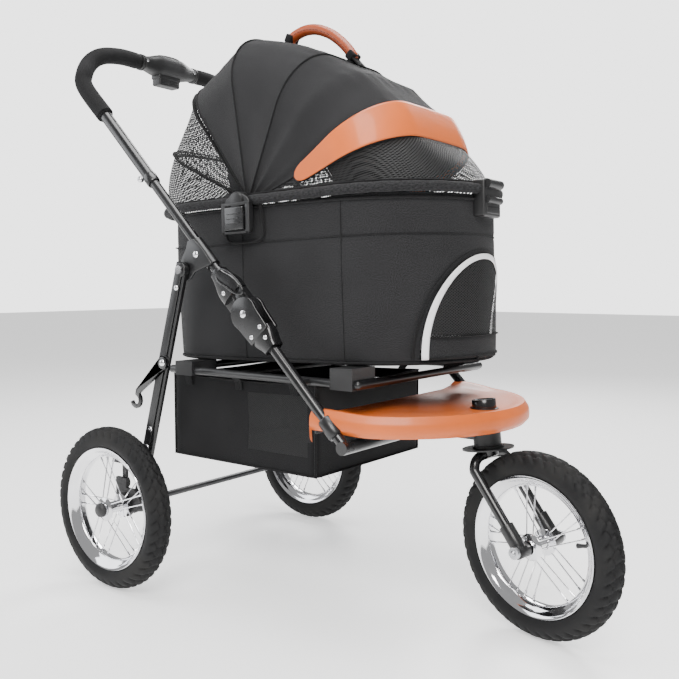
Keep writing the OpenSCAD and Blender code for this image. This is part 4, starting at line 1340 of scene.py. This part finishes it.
class STROLLER_OT_door(bpy.types.Operator):
    """Makes the arched front door: open net, a cloth foot band, reflective tape and a hem."""

    bl_idname = "stroller.door"
    bl_label = "Front door"

    def execute(self, context):
        bm = bmesh.new()
        half, top, foot = 0.1195, -0.1035, -0.268

        def cloth(u, v):
            z = foot + (top - foot) * (1 - (1 - v) ** 1.6)
            reach = half * (1 - min(abs((z - foot) / (top - foot)), 1) ** 2.2) ** (1 / 2.2)
            y = (2 * u - 1) * max(reach, 0.0004)
            bulge = 0.0025 * math.sin(u * math.pi) * math.sin(v * math.pi)
            return on_front(y, z, 0.1738 + bulge)

        def flat(u, v):
            point = cloth(u, v)
            return (math.asin(max(min(point.y / 0.174, 1), -1)) * 0.174, point.z)

        surface(bm, 60, 50, cloth, flat)
        for face in bm.faces:
            face.material_index = 1 if face.calc_center_median().z < -0.234 else 0
        door = finish_piece("door_net", bm, "door", ["Open net", "Woven cloth"], ("front_door",),
                            CARRIER,
                            recalc=False, smooth=60)

        bm = bmesh.new()
        outer, inner = arch_line(0.1235, -0.0995, steps=96), arch_line(0.1145, -0.1085, steps=96)

        def tape(u, v):
            i = round(u * 96)
            (y0, z0), (y1, z1) = inner[i], outer[i]
            crown = 0.0006 * math.sin(v * math.pi)
            return on_front(y0 + (y1 - y0) * v, z0 + (z1 - z0) * v, 0.1768 + crown)

        surface(bm, 96, 4, tape, lambda u, v: (u * 0.45, v * 0.009))
        piece = finish_piece("door_tape", bm, "door", "Reflective tape", (), CARRIER, recalc=False)
        if piece.data.polygons[len(piece.data.polygons) // 2].normal.x < 0:
            piece.data.flip_normals()
        wall = piece.modifiers.new("Thickness", "SOLIDIFY")
        wall.thickness, wall.offset = 0.0010, -1
        bm = bmesh.new()
        edge = [on_front(y, -0.234, 0.1752) for y in (k / 1000 for k in range(-112, 113, 4))]
        strap(bm, edge, 0.006, 0.0012, Vector((0, 0, 1)))
        tube(bm, [mm(373, y, -268) for y in (-30, -29, 29, 30)], 0.0024, 12)
        tube(bm, [on_front(y, -0.2665, 0.1742) for y in (k / 1000 for k in range(-116, 117, 4))], 0.0021, 10)
        finish_piece("door_hem", bm, "door", "Webbing", (), CARRIER)
        return {"FINISHED"}


class STROLLER_OT_buckles(bpy.types.Operator):
    """Makes the side pivots with their release buttons, the front bracket and the rear pocket."""

    bl_idname = "stroller.buckles"
    bl_label = "Buckles and pocket"

    def execute(self, context):
        bm = bmesh.new()
        shield = [(-0.033, -0.050), (-0.028, -0.054), (0.028, -0.054), (0.033, -0.050), (0.033, -0.010),
                  (0.026, 0.006), (0.0165, 0.0125), (0.0, 0.0195), (-0.0165, 0.0125), (-0.026, 0.006),
                  (-0.033, -0.010)]
        plate(bm, shield, 0.1885, 0.1965, 0.0025, 4)
        for low, high in ((mm(-33, 193, -54), mm(-23.5, 201.5, -4)), (mm(23.5, 193, -54), mm(33, 201.5, -4)),
                          (mm(-33, 193, -54), mm(33, 201.5, -49.5)), (mm(-33, 193, -6.5), mm(33, 201.5, 0))):
            block(bm, low, high, 0.0018, 3)
        lathe(bm, [(0, 0.0115), (0.0110, 0.0112), (0.0150, 0.0095), (0.0172, 0.0050), (0.0175, -0.0100),
                   (0, -0.0100)], along_y((0, 0.190, 0.002)), 40)
        lathe(bm, [(0.0048, 0.0), (0.0048, 0.060), (0, 0.060)], along_y((0, 0.136, 0)), 24)
        mirrored(bm)
        finish_piece("side_bracket_shells", bm, "carrier", "Moulded plastic",
                     ("side_brackets",), CARRIER)

        for side, body, node in ((1, "latch_left", "side_latch_left"),
                                 (-1, "latch_right", "side_latch_right")):
            bm = bmesh.new()
            y0, y1 = sorted((side * 0.1975, side * 0.2060))
            block(bm, (-0.022, y0, -0.048), (0.022, y1, -0.008), 0.0028, 4)
            for z in (-0.020, -0.028, -0.036):
                block(bm, (-0.015, min(side * 0.2052, side * 0.2078), z - 0.0012),
                      (0.015, max(side * 0.2052, side * 0.2078), z + 0.0012), 0.0008, 2)
            finish_piece("release_button_" + body, bm, body, "Polished plastic", (node,),
                         CARRIER)

        bm = bmesh.new()
        for side in (1, -1):
            loop = [mm(-41, side * 181, -4), mm(-43, side * 178, -30), mm(-41, side * 177, -62),
                    mm(0, side * 177, -68), mm(41, side * 177, -62), mm(43, side * 178, -30), mm(41,
                                                            side * 181, -4)]
            tube(bm, smooth_path(loop, 8), 0.0024, 10)
        finish_piece("buckle_piping", bm, "carrier", "Webbing", (), CARRIER)

        bm = bmesh.new()
        block(bm, mm(364, -29, -41), mm(388, 29, 19), 0.004, 4)
        tube(bm, [mm(389, y, 12) for y in (-24, -23, 23, 24)], 0.0078, 20)
        tube(bm, [mm(389, y, -14) for y in (-24, -23, 23, 24)], 0.0058, 20)
        block(bm, mm(366, -22, -36), mm(389.5, 22, -24), 0.002, 3)
        finish_piece("front_bracket_shell", bm, "carrier", "Moulded plastic",
                     ("front_bracket",), CARRIER)

        bm = bmesh.new()
        wide = 0.105

        def pocket(u, v):
            y = (2 * u - 1) * wide
            z = -0.190 + 0.130 * v
            full = 0.0150 * math.sin(u * math.pi) ** 0.5 * (0.55 + 0.45 * math.sin(v * math.pi) ** 0.6) \
                * ease(v, -0.02, 0.12)
            full += ripple(0, y, z, 26, 0.0016) * math.sin(u * math.pi)
            radius = 0.1735 + full
            return Vector((-BAG_REAR - math.sqrt(radius ** 2 - y ** 2), y, z))

        surface(bm, 60, 36, pocket, lambda u, v: (u * 0.22, v * 0.13))
        piece = finish_piece("rear_pocket_net", bm, "carrier", "Fine net", ("rear_pocket",), CARRIER,
                             recalc=False, smooth=60)
        bm = bmesh.new()
        strap(bm, [pocket(k / 40, 0.985) + Vector((-0.0006, 0, 0)) for k in range(41)], 0.014, 0.0016,
              Vector((0, 0, 1)))
        edge = [pocket(0.004, 1 - k / 20) for k in range(21)] + [pocket(k / 30, 0.004) for k in range(31)] \
            + [pocket(0.996, k / 20) for k in range(21)]
        tube(bm, edge, 0.0022, 8)
        finish_piece("rear_pocket_binding", bm, "carrier", "Webbing", (), CARRIER)
        return {"FINISHED"}


class STROLLER_OT_pad(bpy.types.Operator):
    """Makes the cabin's padded mat, filled by a short cloth simulation, with a sewn edge."""

    bl_idname = "stroller.pad"
    bl_label = "Cabin pad"

    def execute(self, context):
        scene = context.scene
        low, high, cap = -0.2680, -0.2430, 0.006
        radius = 0.1575
        bm = bmesh.new()
        outline = [stadium(k / 120, radius) for k in range(120)]
        face = bm.faces.new([bm.verts.new((x, y, low + 0.002)) for x, y in outline])
        made = bmesh.ops.extrude_face_region(bm, geom=[face])["geom"]
        bmesh.ops.translate(bm, vec=(0, 0, high - low - 0.005),
                            verts=[g for g in made if isinstance(g, bmesh.types.BMVert)])
        bmesh.ops.recalc_face_normals(bm, faces=bm.faces)
        bmesh.ops.transform(bm, matrix=CARRIER, verts=bm.verts)
        mesh = bpy.data.meshes.new("cabin_pad")
        bm.to_mesh(mesh)
        bm.free()
        pad = bpy.data.objects.new("cabin_pad", mesh)
        scene.collection.objects.link(pad)
        remesh = pad.modifiers.new("Remesh", "REMESH")
        remesh.mode, remesh.voxel_size = "VOXEL", 0.006
        context.view_layer.objects.active = pad
        pad.select_set(True)
        bpy.ops.object.modifier_apply(modifier=remesh.name)
        start = [vert.co.copy() for vert in pad.data.vertices]
        cloth = pad.modifiers.new("Cloth", "CLOTH")
        cloth.settings.use_pressure = True
        cloth.settings.uniform_pressure_force = scene.stroller_fabric.pad_pressure
        cloth.settings.effector_weights.gravity = 0
        cloth.settings.quality = 4
        scene.frame_start, scene.frame_end = 1, 20
        for number in range(1, 21):
            scene.frame_set(number)
        bpy.ops.object.modifier_apply(modifier=cloth.name)
        scene.frame_set(1)
        inverse = CARRIER.inverted()
        for vert, old in zip(pad.data.vertices, start):
            move = vert.co - old
            spot = inverse @ (old + move.normalized() * min(move.length, cap) if move.length else old)
            spot.z = min(max(spot.z, low), high + 0.001)
            groove = min(abs(spot.x - at) for at in (-0.05, 0.09, 0.23))
            spot.z -= 0.005 * math.exp(-(groove / 0.006) ** 2) * (spot.z > (low + high) / 2)
            vert.co = CARRIER @ spot
        divide = pad.modifiers.new("Subdivision", "SUBSURF")
        divide.levels = divide.render_levels = 1
        bpy.ops.object.modifier_apply(modifier=divide.name)
        pad.select_set(False)
        bm = bmesh.new()
        bm.from_mesh(pad.data)
        layer = bm.loops.layers.uv.verify()
        for face in bm.faces:
            for loop in face.loops:
                loop[layer].uv = (loop.vert.co.x, loop.vert.co.y + loop.vert.co.z * 0.5)
        bm.to_mesh(pad.data)
        bm.free()
        pad.data.materials.append(FINISHES["Plush pad"])
        pad.data.shade_smooth()
        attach(pad, "carrier")
        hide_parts("carrier_pad")

        bm = bmesh.new()
        path = [Vector((*stadium(k / 160, radius + 0.0045), (low + high) / 2)) for k in range(160)]
        tube(bm, path, 0.0024, 8, closed=True)
        finish_piece("pad_piping", bm, "carrier", "Webbing", (), CARRIER)
        return {"FINISHED"}


# ---------------------------------------------------------------- canopy
ARCH_CORNER = 0.105
LEANS = ((-64, 0.2965, 0.1500), (-35, 0.3030, 0.1600), (-8, 0.3150, 0.1680), (24, 0.2800, 0.1680),
         (42, 0.2850, 0.1670), (62, 0.3020, 0.1640), (71, 0.3020, 0.1640))


def arch_point(s, half, radius, start=0.016):
    """The canopy's cross section: distance from the pivot axis and y, at a share s of its length."""
    side, arc, top = radius - ARCH_CORNER - start, math.pi / 2 * ARCH_CORNER, 2 * (half - ARCH_CORNER)
    length = 2 * side + 2 * arc + top
    at = min(s, 1 - s) * length
    sign = -1 if s < 0.5 else 1
    if at <= side:
        return start + at, sign * half
    at -= side
    if at <= arc:
        angle = at / ARCH_CORNER
        return (radius - ARCH_CORNER + ARCH_CORNER * math.sin(angle),
                sign * (half - ARCH_CORNER + ARCH_CORNER * math.cos(angle)))
    at -= arc
    return radius, sign * (half - ARCH_CORNER - at)


def arch_size(lean):
    """Radius and half width of the canopy at a lean in degrees, with slack between the bows."""
    knots = LEANS
    if lean <= knots[0][0]:
        return knots[0][1], knots[0][2], 0.0
    for (a0, r0, w0), (a1, r1, w1) in zip(knots, knots[1:]):
        if lean <= a1:
            t = (lean - a0) / (a1 - a0)
            return r0 + (r1 - r0) * t, w0 + (w1 - w0) * t, math.sin(t * math.pi)
    return knots[-1][1], knots[-1][2], 0.0


def gore(first, last, start=0.016):
    """Width, length and area of one canopy panel's cut, which narrows towards the pivots."""
    radius = (arch_size(first)[0] + arch_size(last)[0]) / 2
    half = (arch_size(first)[1] + arch_size(last)[1]) / 2
    turn, straight, flat = math.radians(last - first), radius - ARCH_CORNER, 2 * (half - ARCH_CORNER)
    width = 2 * (straight - start) + math.pi * ARCH_CORNER + flat
    sides = straight ** 2 - start ** 2
    corners = 2 * ARCH_CORNER * (straight * math.pi / 2 + ARCH_CORNER)
    return width, radius * turn, (sides + corners + radius * flat) * turn


def canopy_point(s, lean, proud=0.0, sag=0.004, start=0.016):
    """A point of the canopy's one continuous sheet, in the carrier's frame."""
    radius, half, slack = arch_size(lean)
    over = math.sin(min(max((s - 0.08) / 0.84, 0), 1) * math.pi)
    drop = slack * sag * (0.4 + 0.9 * over) - proud
    r, y = arch_point(s, half - drop, radius - drop, start)
    pucker = 0.0011 * (1 - slack) * math.sin(s * 150) * over * (1 if slack > 0.02 else 0)
    r += pucker + ripple(lean * 0.03, y, r, 9, sag * 0.3) * slack
    turn = math.radians(lean)
    return Vector((r * math.sin(turn), y, r * math.cos(turn)))


def rim_point(s, front=True, radius=0.171, z=0.0125):
    """A point on the rim's front or rear half, from the right pivot round to the left."""
    edge, near = (BAG_FRONT, 0.012) if front else (-0.127 - 0.008, -0.012)
    straight = abs(edge - near)
    length = 2 * straight + math.pi * radius
    at = min(s, 1 - s) * length
    sign = -1 if s < 0.5 else 1
    way = 1 if front else -1
    if at <= straight:
        return Vector((near + way * at, sign * radius, z))
    angle = (at - straight) / radius
    return Vector((edge + way * radius * math.sin(angle), sign * radius * math.cos(angle), z))


def by_lean(piece, first, last):
    """Makes the share that follows the second body grow with the lean between two bows."""
    back = CARRIER.inverted()
    data = piece.data.attributes["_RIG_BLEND"].data
    for vert, item in zip(piece.data.vertices, data):
        spot = back @ vert.co
        item.value = ease(math.degrees(math.atan2(spot.x, spot.z)), first, last)


class STROLLER_OT_canopy(bpy.types.Operator):
    """Makes the canopy's cloth, seams and the two mesh windows between it and the rim."""

    bl_idname = "stroller.canopy"
    bl_label = "Canopy"

    def execute(self, context):
        sag = context.scene.stroller_fabric.sag
        parts = (
            ("canopy_cloth_rear", -35, -8, "carrier", "canopy_rear", ("panel_rear",), 14),
            ("canopy_cloth_top", -8, 24, "canopy_rear", "canopy_top", ("panel_top",), 18),
            ("canopy_cloth_front", 24, 71, "canopy_top", "canopy_front", ("panel_front",), 18),
        )
        for name, first, last, a, b, nodes, rows in parts:
            bm = bmesh.new()
            surface(bm, 150, rows, lambda u, v: canopy_point(u, first + (last - first) * v, sag=sag),
                    lambda u, v: (u * 0.80, v * math.radians(last - first) * 0.30))
            piece = finish_piece(name, bm, None, "Woven cloth", nodes, CARRIER, recalc=False,
                                 smooth=70)
            if piece.data.polygons[len(piece.data.polygons) // 2].normal.z < 0:
                piece.data.flip_normals()
            width, length, area = gore(first, last)
            last = min(last, 59)
            start, end = (CARRIER @ canopy_point(0.5, lean) for lean in (first, last))
            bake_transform(piece, a, b, start, end)
            by_lean(piece, first, last)

        for name, lean, body, node in (("canopy_seams_rear", -8, "canopy_rear", "bow_rear"),
                                       ("canopy_seams_top", 24, "canopy_top", "bow_top"),
                                       ("canopy_seams_front", 71, "canopy_front", "bow_front")):
            bm = bmesh.new()
            tube(bm, [canopy_point(k / 120, lean, 0.0006, 0) for k in range(121)], 0.0019, 8)
            tube(bm, [canopy_point(k / 120, lean, -0.0042, 0, 0.008) for k in range(121)], 0.0030, 10)
            for side in (1, -1):
                half = arch_size(lean)[1] - 0.006
                lathe(bm, [(0, 0.003), (0.0105, 0.0026), (0.0118, 0.0012), (0.0118, -0.002), (0, -0.002)],
                      along_y((0, side * half, 0), side), 28)
            finish_piece(name, bm, body, "Webbing", (node,), CARRIER)

        bm = bmesh.new()

        def rear(u, v):
            if v < 0.3:
                lean = -35 - 29 * v / 0.3
                return canopy_point(u, lean, sag=sag)
            t = (v - 0.3) / 0.7
            arch = canopy_point(u, -64, sag=sag)
            foot = rim_point(u, False)
            point = arch.lerp(foot, t)
            point.x -= 0.012 * math.sin(t * math.pi) * math.sin(u * math.pi)
            return point

        def rear_flat(u, v):
            point = rear(u, v)
            return (point.y * 1.2 + point.x * 0.4 * (1 if u > 0.5 else -1), point.z * 1.1 - point.x * 0.5)

        surface(bm, 130, 44, rear, rear_flat)
        for face in bm.faces:
            spot = face.calc_center_median()
            face.material_index = 1 if abs(spot.y) > 0.142 and spot.z < 0.10 and spot.x > -0.06 else 0
        net = finish_piece("rear_window_net", bm, "carrier", ["Open net", "Woven cloth"],
                           ("rear_mesh",),
                           CARRIER, recalc=False, smooth=70)
        width, length, area = gore(-64, -35)
        bm = bmesh.new()
        tube(bm, [canopy_point(k / 100, -64, -0.003, 0) for k in range(101)], 0.0030, 10)
        tube(bm, [canopy_point(k / 100, -35, 0.0006, 0) for k in range(101)], 0.0018, 8)
        for lean, width in ((-63, 0.009), (-37.5, 0.010)):
            strap(bm, [canopy_point(k / 100, lean, 0.0012, sag) for k in range(3, 98)], width, 0.0012,
                  Vector((math.cos(math.radians(lean)), 0, -math.sin(math.radians(lean)))))
        tube(bm, [rim_point(k / 90, False, 0.1722, 0.0135) for k in range(91)], 0.0028, 10)
        finish_piece("rear_window_binding", bm, "carrier", "Webbing", (), CARRIER)

        bm = bmesh.new()

        def front(u, v):
            arch = canopy_point(u, 71, 0.0005, sag=sag)
            foot = rim_point(u, True, 0.1705)
            point = arch.lerp(foot, v)
            puff = 0.005 * math.sin(v * math.pi) * math.sin(u * math.pi)
            return point + Vector((puff, 0, puff * 0.4))

        def front_flat(u, v):
            point = front(u, v)
            return (point.y * 1.2 + point.x * 0.4 * (1 if u > 0.5 else -1), point.z * 1.15 - point.x * 0.3)

        surface(bm, 130, 36, front, front_flat)
        net = finish_piece("front_window_net", bm, "canopy_front", "Open net", ("front_mesh",),
                           CARRIER,
                           recalc=False, smooth=70)
        bm = bmesh.new()
        tube(bm, [rim_point(k / 90, True, 0.1718, 0.0145) for k in range(91)], 0.0026, 10)
        finish_piece("front_window_binding", bm, "canopy_front", "Webbing", (), CARRIER)
        return {"FINISHED"}


class STROLLER_OT_visor(bpy.types.Operator):
    """Makes the orange leather visor with its stitched, bound edges."""

    bl_idname = "stroller.visor"
    bl_label = "Visor"

    def execute(self, context):
        def brim(u, v, proud=0.004):
            across = 2 * u - 1
            round_end = math.sqrt(max(1 - max(0, (abs(across) - 0.93) / 0.07) ** 2, 0))
            lean = 66.4 + 7.0 * abs(across) ** 2.6 + (2 * v - 1) * 6.0 * max(round_end, 0.05)
            radius, half, _ = arch_size(68)
            r, y = arch_point(u, half + 0.004 + proud, radius + proud - 0.0008 * (2 * v - 1) ** 2, 0.118)
            turn = math.radians(lean)
            return Vector((r * math.sin(turn), y, r * math.cos(turn)))

        bm = bmesh.new()
        surface(bm, 150, 20, brim, lambda u, v: (u * 0.62, v * 0.065))
        visor = finish_piece("visor_leather", bm, "canopy_front", "Orange leather",
                             ("visor",),
                             CARRIER, recalc=False, smooth=60)
        if visor.data.polygons[len(visor.data.polygons) // 2].normal.x < 0:
            visor.data.flip_normals()
        wall = visor.modifiers.new("Thickness", "SOLIDIFY")
        wall.thickness, wall.offset = 0.0028, -1
        bm = bmesh.new()
        edge = [brim(k / 140, 0.0, 0.0028) for k in range(141)]
        other = [brim(k / 140, 1.0, 0.0028) for k in range(141)]
        tube(bm, edge, 0.0018, 8)
        tube(bm, other, 0.0018, 8)
        finish_piece("visor_binding", bm, "canopy_front", "Webbing", (), CARRIER)
        bm = bmesh.new()
        for v in (0.09, 0.91):
            for k in range(4, 180, 2):
                tube(bm, [brim((k + t) / 184, v, 0.0041) for t in (0, 0.6, 1.2)], 0.00045, 6)
        finish_piece("visor_stitches", bm, "canopy_front", "Thread", (), CARRIER)
        return {"FINISHED"}


class STROLLER_OT_carry(bpy.types.Operator):
    """Makes the leather carry handle with its webbing ends."""

    bl_idname = "stroller.carry"
    bl_label = "Carry handle"

    def execute(self, context):
        line = [(-37, 317), (-33, 327), (-22, 333.5), (4, 338), (34, 333), (66, 317), (94, 293), (110, 273),
                (114, 263)]
        path = smooth_path([mm(x, 0, z) for x, z in line], 10)
        bm = bmesh.new()
        tube(bm, path, lambda t: 0.0098 - 0.0022 * ease(abs(t - 0.5), 0.42, 0.5), 28)
        finish_piece("carry_leather", bm, "canopy_top", "Tan leather", ("carry_handle",),
                     CARRIER)
        bm = bmesh.new()
        for stitch in range(3, 96, 2):
            at = path[min(int(stitch / 98 * (len(path) - 1)), len(path) - 2)]
            to = path[min(int(stitch / 98 * (len(path) - 1)) + 1, len(path) - 1)]
            tube(bm, [at + Vector((0, -0.0096, -0.002)), to.lerp(at, 0.3) + Vector((0, -0.0096, -0.002))],
                 0.0005, 6)
        finish_piece("carry_stitches", bm, "canopy_top", "Thread", (), CARRIER)
        bm = bmesh.new()
        for ends in (((-33, 330), (-39, 318), (-44, 309)), ((112, 272), (120, 261), (133, 247))):
            run = smooth_path([mm(x, 0, z) for x, z in ends], 6)
            strap(bm, run, 0.022, 0.0035, Vector((0, 1, 0)).cross(run[-1] - run[0]))
        for x, z, tilt in ((-32, 328, -62), (112, 269, 50)):
            turn = Matrix.Translation(mm(x, 0, z)) @ Matrix.Rotation(math.radians(tilt), 4, "Y")
            block(bm, (-0.008, -0.0125, -0.0085), (0.008, 0.0125, 0.0085), 0.003, 3, turn)
        finish_piece("carry_webbing", bm, "canopy_top", "Webbing", (), CARRIER)
        return {"FINISHED"}


# ---------------------------------------------------------------- panel, register and main
OPERATORS = (
    STROLLER_OT_finishes, STROLLER_OT_wheels, STROLLER_OT_frame, STROLLER_OT_hinges, STROLLER_OT_fork,
    STROLLER_OT_handle, STROLLER_OT_tray, STROLLER_OT_basket, STROLLER_OT_bag, STROLLER_OT_door,
    STROLLER_OT_buckles, STROLLER_OT_pad, STROLLER_OT_canopy, STROLLER_OT_visor, STROLLER_OT_carry,
    STROLLER_OT_stage,
)


class STROLLER_PT_panel(bpy.types.Panel):
    """Lists the stroller's builders and their settings."""

    bl_idname = "STROLLER_PT_panel"
    bl_label = "Stroller"
    bl_space_type = "VIEW_3D"
    bl_region_type = "UI"
    bl_category = "Stroller"

    def draw(self, context):
        layout = self.layout
        for label in SETTINGS:
            group = getattr(context.scene, label)
            for name in group.__class__.__annotations__:
                layout.prop(group, name)
        for operator in OPERATORS:
            layout.operator(operator.bl_idname)


def register():
    for group in SETTINGS.values():
        bpy.utils.register_class(group)
    for operator in OPERATORS:
        bpy.utils.register_class(operator)
    bpy.utils.register_class(STROLLER_PT_panel)
    for label, group in SETTINGS.items():
        setattr(bpy.types.Scene, label, PointerProperty(type=group))


def unregister():
    for label in SETTINGS:
        delattr(bpy.types.Scene, label)
    bpy.utils.unregister_class(STROLLER_PT_panel)
    for operator in reversed(OPERATORS):
        bpy.utils.unregister_class(operator)
    for group in reversed(list(SETTINGS.values())):
        bpy.utils.unregister_class(group)


def main():
    register()
    for operator in OPERATORS:
        section, name = operator.bl_idname.split(".")
        getattr(getattr(bpy.ops, section), name)()


if __name__ == "__main__":
    main()
